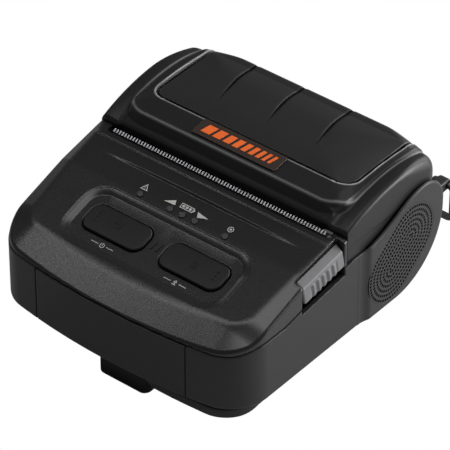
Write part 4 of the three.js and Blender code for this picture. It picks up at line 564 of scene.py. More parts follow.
def ridge(x, y, z, inset):
    """Raised middle of the cover, with a bead around the window."""
    line = np.vstack([[(at(0), up(51))], RIDGE_LINE, [(BEYOND, up(53.4))]])
    along = below_line(y, z, line) + inset
    height = np.interp(np.abs(x), ACROSS[:, 0], up(ACROSS[:, 1]))
    across = (z - height) * RIDGE.across_scale + inset
    share = ease((np.abs(x) - RIDGE.side_from) / RIDGE.side_run)
    radius = RIDGE.rear_radius + (RIDGE.side_radius - RIDGE.rear_radius) * share
    roof = both(blend(along, across, 0.3), y - (REAR - inset), radius)
    if inset == 0:
        bead = WINDOW.bead * np.exp(-((window_plan(x, y, 0) - WINDOW.bead_at) / WINDOW.bead_width) ** 2)
        roof = roof - bead * (1 - ease((y - at(WINDOW.bead_end)) / WINDOW.bead_run))
    half = (REAR + RIDGE.past - at(RIDGE.front)) / 2
    outline = rounded(x, y - at(RIDGE.front) - half, RIDGE.half - inset, half - inset, RIDGE.corner - inset)
    return both(roof, outline, RIDGE.edge if inset == 0 else 0)


def apron(x, y, z, inset):
    """Sloping strip between the cover's lip and the ridge."""
    slope = (APRON.high - APRON.low) / APRON.run
    rise = (z - up(APRON.low) - slope * (y - LIP)) / math.hypot(1, slope) + inset
    top = blend(rise, z - up(RIDGE.base) + inset, 0.4)
    ends = both(np.abs(x) - APRON.half + inset, y - at(RIDGE.front + APRON.past))
    return both(top, both(ends, LIP + inset - y), APRON.edge if inset == 0 else 0)


def cover_outside(x, y, z, inset=0.0):
    body = either(low_cover(x, y, z, inset), ridge(x, y, z, inset), RIDGE.fillet)
    return both(either(body, apron(x, y, z, inset), APRON.fillet), cover_plan(x, y, z, inset))


def window_plan(x, y, grow):
    """The window's outline from above, open towards the back."""
    front = at(WINDOW.front) - grow
    return rounded(x, y - front - WINDOW.reach, WINDOW.half + grow, WINDOW.reach, WINDOW.corner + grow)


def cover_shell(x, y, z):
    shell = without(cover_outside(x, y, z), cover_outside(x, y, z, SHELL.wall))
    under = ridge(x, y, z, 0) + SHELL.pocket
    end = up(WINDOW.end)
    pocket = both(window_plan(x, y, WINDOW.gap), both(-under, end - 0.3 - z))
    backing = both(both(window_plan(x, y, SHELL.pocket), both(under, -(under + SHELL.backing))), end - 2 - z)
    shell = without(either(shell, backing), pocket, 0.35)
    shell = without(shell, label_block(x, y, z, LABEL.gap, LABEL.recess, LABEL.above), 0.15)
    rear_cut = both(HINGE.y - HINGE.room - y, z - up(SHELL.rear_cut))
    shell = without(both(shell, up(SHELL.skirt) - z, 0.3), rear_cut)
    lip = both(y - LIP - SHELL.lip_rear, z - up(LIP_HEIGHT - SHELL.lip_low))
    lip = both(LIP - SHELL.lip_front - y, lip)
    shell = without(shell, both(lip, np.abs(x) - SHELL.lip_half))
    within = np.abs(x) - HINGE.barrel_half
    barrel = both(disc(y, z, HINGE.y, HINGE.z, HINGE.barrel), within, 0.3)
    web = between(y, REAR - SHELL.web_front, REAR - SHELL.web_rear)
    web = both(web, between(z, HINGE.z, up(SHELL.web_top)))
    shell = either(shell, np.minimum(barrel, both(within, web)), 0.3)
    lug_room = between(np.abs(x), HINGE.barrel_half, HINGE.lug_room_outer)
    lug_room = both(disc(y, z, HINGE.y, HINGE.z, HINGE.lug_room), lug_room)
    pins = both(disc(y, z, HINGE.y, HINGE.z, HINGE.pin), between(np.abs(x), HINGE.pin_inner, HINGE.pin_outer))
    return without(without(shell, lug_room), pins)


def label_middle():
    """The label's place on a straight line from the ridge's front end to the window."""
    far = RIDGE_LINE[np.searchsorted(RIDGE_LINE[:, 0], at(WINDOW.front))]
    first = RIDGE_LINE[0]
    angle = math.atan2(far[1] - first[1], far[0] - first[0])
    y0 = at(LABEL.setback)
    return y0, first[1] + (y0 - first[0]) * math.tan(angle) + LABEL.lift, angle


def label_block(x, y, z, grow, low, high):
    u, v, w = tilted(x, y, z, label_middle())
    outline = rounded(u, v, LABEL.half_u + grow, LABEL.half_v + grow, LABEL.corner + grow)
    return both(outline, between(w, low, high))


def groove_line(y, place):
    """Middle of a groove in X, and its strength from 0 at the front end to 1 at the back."""
    share = np.clip((y - at(GROOVE.front)) / (GROOVE.rear - at(GROOVE.front)), 0, 1)
    return place - GROOVE.bend * np.sin(share * math.pi / 2) ** 0.9, ease(share / 0.45)


def window_depth(x, y):
    """Depth of the window's face below the ridge, with a dent along each groove."""
    depth = WINDOW.sink + 0 * y
    for place in GROOVE.places:
        middle, strength = groove_line(y, place)
        depth = depth + GROOVE.dent * strength * np.exp(-((x - middle) / GROOVE.width) ** 2)
    return depth


def window(x, y, z):
    roof = ridge(x, y, z, 0)
    skin = both(roof + window_depth(x, y), -(roof + WINDOW.sink + WINDOW.thick))
    return both(skin, both(window_plan(x, y, 0), up(WINDOW.end) - z), 0.4)


# Battery: its front panel, and the pack behind it
FRONT_PANEL = Sizes(half=35.9, rear=5, top=24.2, edge=1.2)
PACK = Sizes(half=35.2, front=4.6, rear=61, low=2.5, top=19.5)


def battery_pack(x, y, z):
    panel = both(plan(x, y, 0), BOTTOM - z, FRONT_PANEL.edge)
    ends = both(y - at(FRONT_PANEL.rear), z - up(FRONT_PANEL.top))
    panel = both(panel, both(np.abs(x) - FRONT_PANEL.half, ends), 0.3)
    pack = both(np.abs(x) - PACK.half, between(y, at(PACK.front), at(PACK.rear)))
    return np.minimum(panel, both(pack, between(z, up(PACK.low), up(PACK.top)), 0.8))


# Keys
def key_cap(side):
    """Left or right key: domed cap, a flange behind the wall and a stem."""
    def field(x, y, z):
        u, v, w = tilted(x, y, z, panel_middle(KEY.setback))
        local = u - side * KEY.centre
        dome = -KEY.dome * np.clip((local / KEY.half_u) ** 2 + (v / KEY.half_v) ** 2, 0, 2)
        cap = both(key_outline(u, v, side, 0), w - (KEY.proud - RECESS.sink) - dome, KEY.round)
        under = -RECESS.sink - RECESS.floor - SEAT
        low = under - KEY.flange_thick
        flange = both(key_outline(u, v, side, KEY.flange), between(w, low, under), 0.2)
        stem = both(disc(u, v, side * KEY.centre, 0, KEY.stem), between(w, KEY.stem_low, under))
        return np.minimum.reduce([both(cap, low - w), flange, stem])
    return field


# Release button: wedge with two facets, ribs on its side face and a flange behind the wall
RELEASE = Sizes(y0=at(41.8), y1=TEAR + 0.6, inner=53.6, crest=56.1, face=59.2, outer=60.4, front=39.6,
                rear=43.4, drop=2.2, low=8.4, facet_scale=0.8, face_scale=0.96, hollow_low=22)
RIB = Sizes(rise=0.28, pitch=3.0, from_top=3.2, top_run=1.2, from_end=3, end_run=2)
FLANGE = Sizes(inwards=0.9, thick=1.4, past=0.45, gap=0.4)


def release_button(x, y, z):
    r = RELEASE
    share = (y - r.y0) / (r.y1 - r.y0)
    top = z - up(r.front + (r.rear - r.front) * share)
    facet = (top + (x - r.crest) * r.drop / (r.face - r.crest)) * r.facet_scale
    lean = (r.outer - r.face) / (r.low - r.drop)
    wave = RIB.rise * np.cos(TAU * (y - r.y0) / RIB.pitch) * ease((-top - RIB.from_top) / RIB.top_run)
    for along in (y - r.y0, r.y1 - y):
        wave = wave * ease((along - RIB.from_end) / RIB.end_run)
    face = (x - r.face + (top + r.drop) * lean - wave) * r.face_scale
    outer = both(both(top, facet, 0.3), face, 0.4)
    body = both(outer, both(-r.low - top, r.inner - x), 0.3)
    body = both(body, between(y, r.y0, r.y1), 0.9)
    hollow = both(between(x, r.inner - 1, r.crest - 0.1), between(top, -r.hollow_low, 0))
    inner = r.inner - FLANGE.inwards
    flange = both(between(x, inner, inner + FLANGE.thick), between(y, r.y0 - FLANGE.past, r.y1 + FLANGE.past))
    low, high = up(r.front - r.low + FLANGE.gap), up(r.front - r.drop - FLANGE.gap)
    return np.minimum(without(body, hollow), both(flange, between(z, low, high), 0.2))


# Base plate and belt clip
BASE = Sizes(side=3, front=5.5, bow=600, corner=13, rear_corner=12, low=12.3, high=16, edge=1.2,
             slot_half=7.4, slot_front=21.6, slot_rear=38)
PAD = Sizes(x=10, run=12, forward=3, down=1.1, setback=10)
CLIP = Sizes(front=8.3, rear=4.5, half=12, corner=3.5, tongue=3, tip=9, tip_long=3.6, block=12, block_back=20,
             block_lean=0.3)


def base_plate(x, y, z):
    """Flat plate with a pad that reaches forwards and down at the front right."""
    pad = ease((x - PAD.x) / PAD.run)
    bow = disc(x, y, 0, at(BASE.front) + BASE.bow, BASE.bow) - PAD.forward * pad
    outline = both(np.abs(x) - (SIDE - BASE.side), bow, BASE.corner)
    outline = both(outline, y - (REAR - DRUM.radius), BASE.rear_corner)
    bottom = BASE.low - PAD.down * pad * (1 - ease((y - at(PAD.setback)) / PAD.run))
    plate = both(outline, both(bottom - z, z - BASE.high), BASE.edge)
    slot = both(np.abs(x) - BASE.slot_half, between(y, at(BASE.slot_front), at(BASE.slot_rear)))
    return without(plate, slot, 0.2)


def belt_clip(x, y, z):
    front, rear = at(CLIP.front), REAR - DRUM.radius - CLIP.rear
    tongue = both(between(z, 0, CLIP.tongue), y - rear, 0.8)
    tip = both(both(z - CLIP.tip, -z, 1.2), y - front - CLIP.tip_long, 0.8)
    block = both(z - CLIP.block, rear - CLIP.block_back - y - (CLIP.block - z) * CLIP.block_lean)
    side = either(np.minimum(tongue, block), tip, 2)
    side = both(both(side, front - y, 1.5), both(y - rear, -z, 0.8), 0.5)
    return both(side, rounded(x, y - (front + rear) / 2, CLIP.half, (rear - front) / 2, CLIP.corner), 0.8)


# Materials
GLOSS_SPREAD, GRAIN_DEPTH = 0.06, 0.04


def fresh(tree, kind, **values):
    """A new shader node with these values on its inputs."""
    node = tree.nodes.new("ShaderNode" + kind)
    for name, value in values.items():
        node.inputs[name.replace("_", " ")].default_value = value
    return node


def wire(source, output, target, into):
    source.id_data.links.new(source.outputs[output], target.inputs[into])


def grained(name, colour, roughness, grain=0.35, grain_size=0.35, spread=0.12, specular=0.5, metallic=0.0):
    """A finish with a fine grain, and slow changes of tone and gloss."""
    material = bpy.data.materials.new(name)
    material.use_nodes = True
    tree = material.node_tree
    shader, place = tree.nodes["Principled BSDF"], fresh(tree, "TexCoord")
    fine = fresh(tree, "TexNoise", Scale=1 / (grain_size * MM), Detail=3)
    slow = fresh(tree, "TexNoise", Scale=45, Detail=4)
    pale, deep = [(*[c * share for c in colour], 1) for share in (1 + spread, 1 - spread)]
    mix = fresh(tree, "MixRGB", Color1=deep, Color2=pale)
    gloss = fresh(tree, "MapRange", To_Min=roughness - GLOSS_SPREAD, To_Max=roughness + GLOSS_SPREAD)
    bump = fresh(tree, "Bump", Strength=grain, Distance=GRAIN_DEPTH * MM)
    for noise in (fine, slow):
        wire(place, "Object", noise, "Vector")
    wire(slow, "Fac", mix, "Fac")
    wire(mix, "Color", shader, "Base Color")
    wire(fine, "Fac", gloss, "Value")
    wire(gloss, "Result", shader, "Roughness")
    wire(fine, "Fac", bump, "Height")
    wire(bump, "Normal", shader, "Normal")
    shader.inputs["Specular IOR Level"].default_value = specular
    shader.inputs["Metallic"].default_value = metallic
    return material


def painted_highlight_line(material, half, front, rear, corner, offset, width, tone, amount, low):
    """A painted highlight: a paler line above a height, which follows a round rectangle seen from above, in
    millimetres.
    """
    tree = material.node_tree
    shader, axes = tree.nodes["Principled BSDF"], fresh(tree, "SeparateXYZ")
    wire(fresh(tree, "TexCoord"), "Object", axes, "Vector")

    def do(operation, *values):
        """A math node on outputs and numbers."""
        node = fresh(tree, "Math")
        node.operation = operation
        for place, value in enumerate(values):
            if isinstance(value, bpy.types.NodeSocket):
                tree.links.new(value, node.inputs[place])
            else:
                node.inputs[place].default_value = value
        return node.outputs[0]

    across = do("SUBTRACT", do("ABSOLUTE", do("DIVIDE", axes.outputs["X"], MM)), half - corner)
    along = do("SUBTRACT", do("DIVIDE", axes.outputs["Y"], MM), (front + rear) / 2)
    along = do("SUBTRACT", do("ABSOLUTE", along), (rear - front) / 2 - corner)
    right, ahead = do("MAXIMUM", across, 0.0), do("MAXIMUM", along, 0.0)
    outside = do("SQRT", do("ADD", do("MULTIPLY", right, right), do("MULTIPLY", ahead, ahead)))
    inside = do("MINIMUM", do("MAXIMUM", across, along), 0.0)
    distance = do("SUBTRACT", do("ADD", outside, inside), corner + offset)
    share = do("SUBTRACT", 1.0, do("MINIMUM", do("DIVIDE", do("ABSOLUTE", distance), width), 1.0))
    share = do("MULTIPLY", do("MULTIPLY", share, share), amount)
    share = do("MULTIPLY", share, do("GREATER_THAN", do("DIVIDE", axes.outputs["Z"], MM), low))
    mix = fresh(tree, "MixRGB", Color2=(tone, tone, tone, 1))
    tree.links.new(share, mix.inputs["Fac"])
    tree.links.new(shader.inputs["Base Color"].links[0].from_socket, mix.inputs["Color1"])
    wire(mix, "Color", shader, "Base Color")


METAL = dict(grain=0.25, grain_size=0.5, spread=0.15, metallic=0.9)
LOOKS = dict(
    side_plastic=dict(colour=(0.027, 0.027, 0.0275), roughness=0.42, specular=0.25),
    top_plastic=dict(colour=(0.014, 0.014, 0.0145), roughness=0.28, grain=0.5),
    cover_plastic=dict(colour=(0.011, 0.011, 0.0115), roughness=0.4, specular=0.28),
    window_plastic=dict(colour=(0.015, 0.015, 0.0155), roughness=0.4, grain=0.15, specular=0.35),
    key_plastic=dict(colour=(0.007, 0.007, 0.0075), roughness=0.42, grain=0.3, specular=0.3),
    # Painted shade: near-black and matte, for the gap round the window, the groove strips and the grille's
    # pits
    shadow=dict(colour=(0.002, 0.002, 0.002), roughness=0.9, grain=0.1, specular=0.05),
    grey_plastic=dict(colour=(0.13, 0.13, 0.135), roughness=0.5, grain=0.3),
    lamp_plastic=dict(colour=(0.06, 0.06, 0.065), roughness=0.3, grain=0.1),
    base_plastic=dict(colour=(0.005, 0.005, 0.005), roughness=0.6, grain=0.3),
    label_orange=dict(colour=(0.95, 0.16, 0.02), roughness=0.45, grain=0.2),
    badge=dict(colour=(0.035, 0.022, 0.017), roughness=0.35, grain=0.2),
    steel=dict(colour=(0.24, 0.24, 0.25), roughness=0.32, **METAL),
    dark_steel=dict(colour=(0.1, 0.1, 0.11), roughness=0.4, **METAL),
    rubber=dict(colour=(0.012, 0.012, 0.011), roughness=0.8, grain=0.6, grain_size=0.5),
    board_green=dict(colour=(0.02, 0.1, 0.045), roughness=0.5, grain=0.3, grain_size=0.8, spread=0.3),
    inner_plastic=dict(colour=(0.03, 0.03, 0.032), roughness=0.6, grain=0.3),
    ivory_plastic=dict(colour=(0.6, 0.6, 0.58), roughness=0.5, grain=0.2),
)
FINISH = {name: grained(name, **look) for name, look in LOOKS.items()}

# Painted highlights: pale lines along the window's rim and the ridge's outline
RIM_LOW, RIM_REAR = up(48), REAR + 20
painted_highlight_line(FINISH["cover_plastic"], WINDOW.half, at(WINDOW.front), RIM_REAR, WINDOW.corner,
          offset=WINDOW.gap + 0.35, width=0.8, tone=0.4, amount=0.9, low=RIM_LOW)
painted_highlight_line(FINISH["cover_plastic"], RIDGE.half, at(RIDGE.front), REAR + RIDGE.past, RIDGE.corner,
          offset=-0.6, width=0.9, tone=0.2, amount=0.9, low=RIM_LOW)


def finished(piece, slot, body, *nodes):
    """Gives the piece its finish and its body, and hides the CAD nodes that it stands for."""
    keep = [p.material_index for p in piece.data.polygons]
    piece.data.materials.clear()
    piece.data.materials.append(FINISH[slot])
    piece.data.polygons.foreach_set("material_index", keep)
    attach(piece, body)
    if nodes:
        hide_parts(*nodes)
    return piece


def margin(node, by=1.0):
    low, high = span(node)
    return low - by, high + by


def dress(node, body, slot, name, field, step, keep=0.3):
    """A moulded piece in the place of a CAD node."""
    finished(moulded(name, field, *margin(node), step, keep), slot, body, node)


dress("upper_case", "case", "top_plastic", "panel_case", upper_case, 0.45, 0.25)
dress("lower_case", "case", "side_plastic", "bottom_case", lower_case, 0.5, 0.17)

# Painted shade: faces of the cover inside the gap around the window take the dark shadow finish
GAP_EDGE, GAP_DEPTH = WINDOW.gap - 0.15, 0.35
cover_piece = moulded("roll_cover", cover_shell, *margin("cover_shell", 2), 0.45, 0.22)
middles = np.array([list(face.center) for face in cover_piece.data.polygons]) / MM
in_gap = (window_plan(*middles.T[:2], GAP_EDGE) < 0) & (ridge(*middles.T, 0) < -GAP_DEPTH)
cover_piece.data.polygons.foreach_set("material_index", in_gap.astype(np.int32))
finished(cover_piece, "cover_plastic", "cover", "cover_shell").data.materials.append(FINISH["shadow"])

dress("cover_window", "cover", "window_plastic", "cover_panel", window, 0.4, 0.15)
dress("power_button", "power_key", "key_plastic", "power_key_cap", key_cap(-1), 0.3)
dress("feed_button", "feed_key", "key_plastic", "feed_key_cap", key_cap(1), 0.3)
dress("release_button", "release", "grey_plastic", "release_wedge", release_button, 0.3)
dress("battery_pack", "battery", "side_plastic", "battery_case", battery_pack, 0.5, 0.1)
dress("base_plate", "case", "base_plastic", "foot_plate", base_plate, 0.5, 0.06)
dress("belt_clip", "case", "base_plastic", "clip_spring", belt_clip, 0.4, 0.12)


# Flat closed shapes: printed marks, raised signs and the grille
def plate(shape, outline, place, low, high):
    """A flat plate with this outline."""
    rows = [[shape.verts.new(place(u, v, w)) for u, v in outline] for w in (low, high)]
    shape.faces.new(rows[1])
    shape.faces.new(rows[0][::-1])
    for i, _ in enumerate(outline):
        shape.faces.new((rows[0][i - 1], rows[0][i], rows[1][i], rows[1][i - 1]))


def hoop(shape, outer, inner, place, low, high):
    """A flat ring between two outlines."""
    sides = ((outer, low), (outer, high), (inner, high), (inner, low))
    rows = [[shape.verts.new(place(u, v, w)) for u, v in line] for line, w in sides]
    for a, b in zip(rows, rows[1:] + rows[:1]):
        for i, _ in enumerate(outer):
            shape.faces.new((a[i - 1], a[i], b[i], b[i - 1]))


def circle(u, v, radius, count=16, start=0.0, turn=TAU):
    steps = count if turn == TAU else count - 1
    return [(u + radius * math.cos(start + turn * i / steps), v + radius * math.sin(start + turn * i / steps))
            for i in range(count)]


def bar(u, v, half_u, half_v, lean=0.0):
    """A bar whose top leans to the right."""
    return [(u - half_u - lean, v - half_v), (u + half_u - lean, v - half_v),
            (u + half_u + lean, v + half_v), (u - half_u + lean, v + half_v)]


def grown(outline, by):
    """The outline with each point moved away from the middle."""
    mu = sum(p[0] for p in outline) / len(outline)
    mv = sum(p[1] for p in outline) / len(outline)
    return [(mu + (u - mu) * by, mv + (v - mv) * by) for u, v in outline]


def made(name, draw):
    """A piece drawn in a bmesh, with its faces turned outwards."""
    shape = bmesh.new()
    draw(shape)
    bmesh.ops.recalc_face_normals(shape, faces=shape.faces)
    mesh = bpy.data.meshes.new(name)
    shape.to_mesh(mesh)
    shape.free()
    return new_object(name, mesh)


def power_sign(shape, u, v, size, stroke, *place):
    gap = 0.6
    outer = circle(u, v, size, 22, math.pi / 2 + gap, TAU - 2 * gap)
    inner = circle(u, v, size - stroke, 22, math.pi / 2 + gap, TAU - 2 * gap)
    plate(shape, outer + inner[::-1], *place)
    plate(shape, bar(u, v + size * 0.55, stroke / 2, size * 0.55), *place)


def feed_sign(shape, u, v, size, stroke, *place):
    head = [(u - size, v), (u + size, v), (u, v + size * 1.1)]
    hoop(shape, head, grown(head, 0.45), *place)
    plate(shape, bar(u, v - size * 0.45, size * 0.4, size * 0.3), *place)
    plate(shape, bar(u, v - size * 1.2, size, stroke / 2), *place)


INK = 0.03
MARK = Sizes(v=20.1, warning=-20.7, battery=-0.5, state=20.3)
DASH = Sizes(v=-9.4, apart=3.6, half=1.7, thick=0.14)
TICK = Sizes(u=1.3, v=0.3, half_u=0.35, half_v=2.0, lean=0.3, sunk=0.1, proud=0.3)
KEY_SIGN = Sizes(v=0.9, stroke=0.4, sunk=0.1, proud=0.14, dot=0.42, dot_in=4.4, dot_step=1.9, dot_v=0.3)
on_panel = from_tilted(panel_middle(KEY.setback))
on_label = from_tilted(label_middle())


def panel_marks(shape):
    """Signs beside the lamps: warning, battery between two wedges, and state."""
    place, v = (on_panel, -INK, INK), MARK.v
    warning = [(MARK.warning - 1.7, v - 1.3), (MARK.warning + 1.7, v - 1.3), (MARK.warning, v + 1.7)]
    hoop(shape, warning, grown(warning, 0.66), *place)
    plate(shape, bar(MARK.warning, v - 0.2, 0.14, 0.5), *place)
    hoop(shape, bar(MARK.battery, v, 3.0, 1.15), bar(MARK.battery, v, 2.65, 0.8), *place)
    plate(shape, bar(2.85, v, 0.25, 0.5), *place)
    for i in range(3):
        plate(shape, bar(-2.2 + 1.6 * i, v, 0.55, 0.5), *place)
    plate(shape, [(-10.5, 18.5), (-5.4, 18.8), (-6.4, 21.0)], *place)
    plate(shape, [(9.8, 19.7), (4.3, 20.6), (5.6, 18.2)], *place)
    hoop(shape, circle(MARK.state, v, 1.3), circle(MARK.state, v, 1.0), *place)
    plate(shape, circle(MARK.state, v, 0.5, 12), *place)


def recess_marks(shape):
    """A sign between two dashes in front of each key, on the recess floor."""
    place = (on_panel, -INK - RECESS.sink, INK - RECESS.sink)
    for sign, u, v, size in ((power_sign, -KEY.centre, -9.4, 1.1), (feed_sign, KEY.centre - 2, -9.2, 0.9)):
        sign(shape, u, v, size, 0.3, *place)
        for apart in (DASH.apart, -DASH.apart):
            plate(shape, bar(u + apart, DASH.v, DASH.half, DASH.thick), *place)


def recess_ribs(shape):
    """Two short ribs between the keys."""
    for u in (-TICK.u, TICK.u):
        outline = bar(u, TICK.v, TICK.half_u, TICK.half_v, TICK.lean)
        plate(shape, outline, on_panel, -RECESS.sink - TICK.sunk, -RECESS.sink + TICK.proud)


def key_signs(side):
    """Raised sign in the middle of a key, and three dots at its outer end."""
    def draw(shape):
        top = KEY.proud - RECESS.sink
        low, high = top - KEY_SIGN.sunk, top + KEY_SIGN.proud
        sign, size = (power_sign, 1.9) if side < 0 else (feed_sign, 1.5)
        sign(shape, side * KEY.centre, KEY_SIGN.v, size, KEY_SIGN.stroke, on_panel, low, high)
        edge = side * (KEY.centre + KEY.half_u - KEY_SIGN.dot_in)
        for i in (-1, 0, 1):
            dot = circle(edge, i * KEY_SIGN.dot_step + KEY_SIGN.dot_v, KEY_SIGN.dot, 12)
            plate(shape, dot, on_panel, low - 0.1, high + 0.05)
    return draw


def label_bars(shape):
    """A row of leaning bars that narrow towards the right."""
    widths = (4.2, 3.6, 3.1, 2.7, 2.3, 2.0, 1.7, 1.4, 1.2)
    gap, half_v, lean, low, high = 1.35, 2.2, 0.6, 0.2, 0.36
    u = -(sum(widths) + gap * (len(widths) - 1)) / 2
    for width in widths:
        plate(shape, bar(u + width / 2, 0, width / 2, half_v, lean), on_label, low, high)
        u += width + gap


def on_window(x, y, above):
    """A place at that height above the window's face, found by steps."""
    z, steps = np.array(up(56.0)), 12
    for _ in range(steps):
        z = z - ridge(x, y, z, 0) - window_depth(x, y) - above
    return Vector((float(x), float(y), float(z))) * MM


def groove_shade_strips(shape):
    """Painted shade: a dark strip along each groove, which narrows towards the front."""
    for place in GROOVE.places:
        rows = []
        for y in np.linspace(at(GROOVE.front), GROOVE.rear, 30):
            middle, strength = groove_line(y, place)
            half = GROOVE.tip + GROOVE.half * strength
            corners = ((-half, GROOVE.sunk), (half, GROOVE.sunk), (half, GROOVE.proud), (-half, GROOVE.proud))
            rows.append([shape.verts.new(on_window(middle + u, y, above)) for u, above in corners])
        for a, b in zip(rows, rows[1:]):
            for i in range(4):
                shape.faces.new((a[i - 1], a[i], b[i], b[i - 1]))
        shape.faces.new(rows[0])
        shape.faces.new(rows[-1][::-1])


def grille_dots():
    """Middle of each dot, along rings that follow the grille's outline."""
    places, length = [], GRILLE.straight
    for ring in range(GRILLE.rings):
        radius = GRILLE.first_ring + GRILLE.ring_step * ring
        half = 2 * length + math.pi * radius
        count = round(2 * half / GRILLE.dot_step)
        for i in range(count):
            t = (i + 0.5 * (ring % 2)) / count * 2 * half
            way, t = (1, t) if t < half else (-1, t - half)
            if t < 2 * length:
                p, q = t - length, -radius
            else:
                turn = (t - 2 * length) / radius - math.pi / 2
                p, q = length + radius * math.cos(turn), radius * math.sin(turn)
            places.append((way * p, way * q))
    return places


def grille(side):
    """Pierced plate on a drum end: a flat face, and a blind hole below each dot whose walls and floor carry
    painted shade.
    """
    c, s = GRILLE.along
    face = EAR_X - GRILLE.recess

    def place(p, q, x):
        return Vector((side * x, GRILLE.y + p * c - q * s, GRILLE.z + p * s + q * c)) * MM

    def draw(shape):
        edge, length = GRILLE.radius + GRILLE.overlap, GRILLE.straight
        rim = [(length + u, v) for u, v in circle(0, 0, edge, 33, -math.pi / 2, math.pi)]
        rim += [(u - length, v) for u, v in circle(0, 0, edge, 33, math.pi / 2, math.pi)]
        middles = np.array(grille_dots())
        loops = [rim] + [circle(p, q, GRILLE.dot, 8) for p, q in middles]
        points, edges = [], []
        for loop in loops:
            first = len(points)
            points += [Vector(p) for p in loop]
            edges += [(first + i, first + (i + 1) % len(loop)) for i, _ in enumerate(loop)]
        verts, _, faces, *_ = delaunay_2d_cdt(points, edges, [], 1, 1e-6)
        front = [shape.verts.new(place(v.x, v.y, face)) for v in verts]
        for corners in faces:
            middle = sum((np.array(verts[i]) for i in corners), np.zeros(2)) / len(corners)
            if np.hypot(*(middles - middle).T).min() > GRILLE.dot * GRILLE.inside_dot:
                shape.faces.new([front[i] for i in corners])
        first = 0
        for order, loop in enumerate(loops):
            depth = face - (GRILLE.thick if order == 0 else GRILLE.pit)
            below = [shape.verts.new(place(p, q, depth)) for p, q in loop]
            above = front[first:first + len(loop)]
            first += len(loop)
            sides = [(above[i - 1], above[i], below[i], below[i - 1]) for i, _ in enumerate(loop)]
            for corners in [*sides, below]:
                shape.faces.new(corners).material_index = min(order, 1)
    return draw


TEETH = Sizes(half=51.4, pitch=1.35, width=0.62, foot=61.15, tip=61.95, lean=1.3, root=0.3)


def tear_comb(shape):
    """Steel strip on edge, with teeth that lean back over the slot."""
    low, high = span("tear_bar")
    near, far, foot = low[1], high[1], TEETH.foot

    def across(u, v, w):
        return Vector((w, u, v)) * MM

    strip = ((near, low[2]), (far, low[2]), (far, foot), (near, foot))
    plate(shape, strip, across, -TEETH.half, TEETH.half)
    root = foot - TEETH.root
    tooth = ((near, root), (far, root), (far, foot), (near + TEETH.lean, TEETH.tip), (near, foot))
    count = int(2 * TEETH.half / TEETH.pitch)
    for i in range(count):
        middle = (i - (count - 1) / 2) * TEETH.pitch
        plate(shape, tooth, across, middle - TEETH.width / 2, middle + TEETH.width / 2)


DRAWN = (
    ("tear_comb", tear_comb, "steel", "case", "tear_bar"),
    ("panel_print", panel_marks, "ivory_plastic", "case"),
    ("recess_print", recess_marks, "ivory_plastic", "case"),
    ("recess_ribs", recess_ribs, "top_plastic", "case"),
    ("power_key_sign", key_signs(-1), "key_plastic", "power_key"),
    ("feed_key_sign", key_signs(1), "key_plastic", "feed_key"),
    ("label_bars", label_bars, "label_orange", "cover"),
)
for name, draw, slot, *more in DRAWN:
    finished(made(name, draw), slot, *more)
# The groove strips take the shadow finish as painted shade
grooves = finished(made("groove_shade_strips", groove_shade_strips), "window_plastic", "cover")
grooves.data.materials[0] = FINISH["shadow"]
# Grille pits take the shadow finish as painted shade
for name, side in (("grille_right", 1), ("grille_left", -1)):
    finished(made(name, grille(side)), "side_plastic", "case").data.materials.append(FINISH["shadow"])
label = moulded("label_badge", lambda x, y, z: label_block(x, y, z, 0, LABEL.low, LABEL.high),
                *margin("label_plate"), 0.2, 0.1)
finished(label, "label_orange", "cover", "label_plate")
label.data.materials[0] = FINISH["badge"]


# Each CAD node gets the finish of its slot, and a small round on its edges
EDGE_ROUND, EDGE_ANGLE = 0.15, 35
for row in frame["record"]["subparts"]:
    node = frame["nodes"][row["node"]]
    node.data.materials.clear()
    node.data.materials.append(FINISH[row["material_slot"]])
    edge = node.modifiers.new("edge", "BEVEL")
    edge.width = EDGE_ROUND * MM
    edge.segments = 2
    edge.limit_method = "ANGLE"
    edge.angle_limit = math.radians(EDGE_ANGLE)


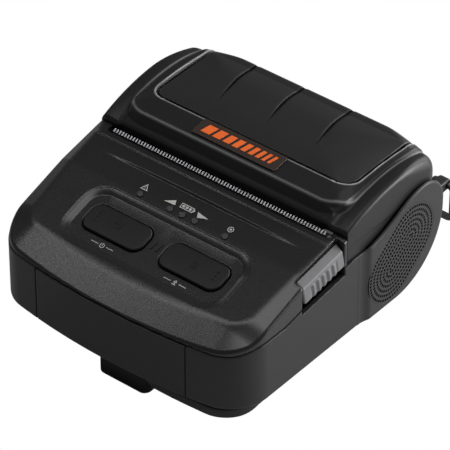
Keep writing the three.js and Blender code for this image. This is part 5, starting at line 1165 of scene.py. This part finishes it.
# Stage
def lamp(name, place, aim, size, power):
    data = bpy.data.lights.new(name, "AREA")
    data.shape = "RECTANGLE"
    data.size, data.size_y = size
    data.energy = power
    light = new_object(name, data)
    light.location = place
    light.rotation_mode = "QUATERNION"
    light.rotation_quaternion = (Vector(aim) - Vector(place)).to_track_quat("-Z", "Y")


MIDDLE = (0, 0, 0.04)
lamp("key", (-0.74, -0.26, 1.36), MIDDLE, (0.2, 0.8), 2.6)
lamp("fill", (0.1, 0.0, 1.5), MIDDLE, (0.8, 0.8), 6)
lamp("rear", (0.25, 1.25, 0.60), MIDDLE, (1.0, 0.8), 12)
lamp("side", (0.50, 0.44, 0.20), (0.06, 0.05, 0.04), (0.35, 0.25), 5.0)
lamp("left", (-1.25, 0.5, 0.45), MIDDLE, (0.3, 0.6), 0.5)


def grey(value):
    return value, value, value, 1


WORLD_TONE, FLOOR_TONE, FLOOR_REACH = 0.12, 0.6, 6
world = bpy.data.worlds.new("world")
bpy.context.scene.world = world
world.use_nodes = True
tree = world.node_tree
tone = fresh(tree, "MixRGB", Color1=grey(WORLD_TONE), Color2=grey(1))
wire(fresh(tree, "LightPath"), "Is Camera Ray", tone, "Fac")
wire(tone, "Color", tree.nodes["Background"], "Color")
tree.nodes["Background"].inputs["Strength"].default_value = 1.0

floor_mesh = bpy.data.meshes.new("floor")
corners = [(x * FLOOR_REACH, y * FLOOR_REACH, 0) for x, y in ((-1, -1), (1, -1), (1, 1), (-1, 1))]
floor_mesh.from_pydata(corners, [], [(0, 1, 2, 3)])
floor = new_object("floor", floor_mesh)
pale = bpy.data.materials.new("floor")
pale.use_nodes = True
tree = pale.node_tree
shader, choice = tree.nodes["Principled BSDF"], fresh(tree, "MixShader")
shader.inputs["Base Color"].default_value = grey(FLOOR_TONE)
shader.inputs["Roughness"].default_value = 0.9
wire(fresh(tree, "LightPath"), "Is Camera Ray", choice, "Fac")
wire(shader, "BSDF", choice, 1)
wire(fresh(tree, "Emission"), "Emission", choice, 2)
wire(choice, "Shader", tree.nodes["Material Output"], "Surface")
floor_mesh.materials.append(pale)

bpy.context.scene.view_settings.view_transform = "Standard"
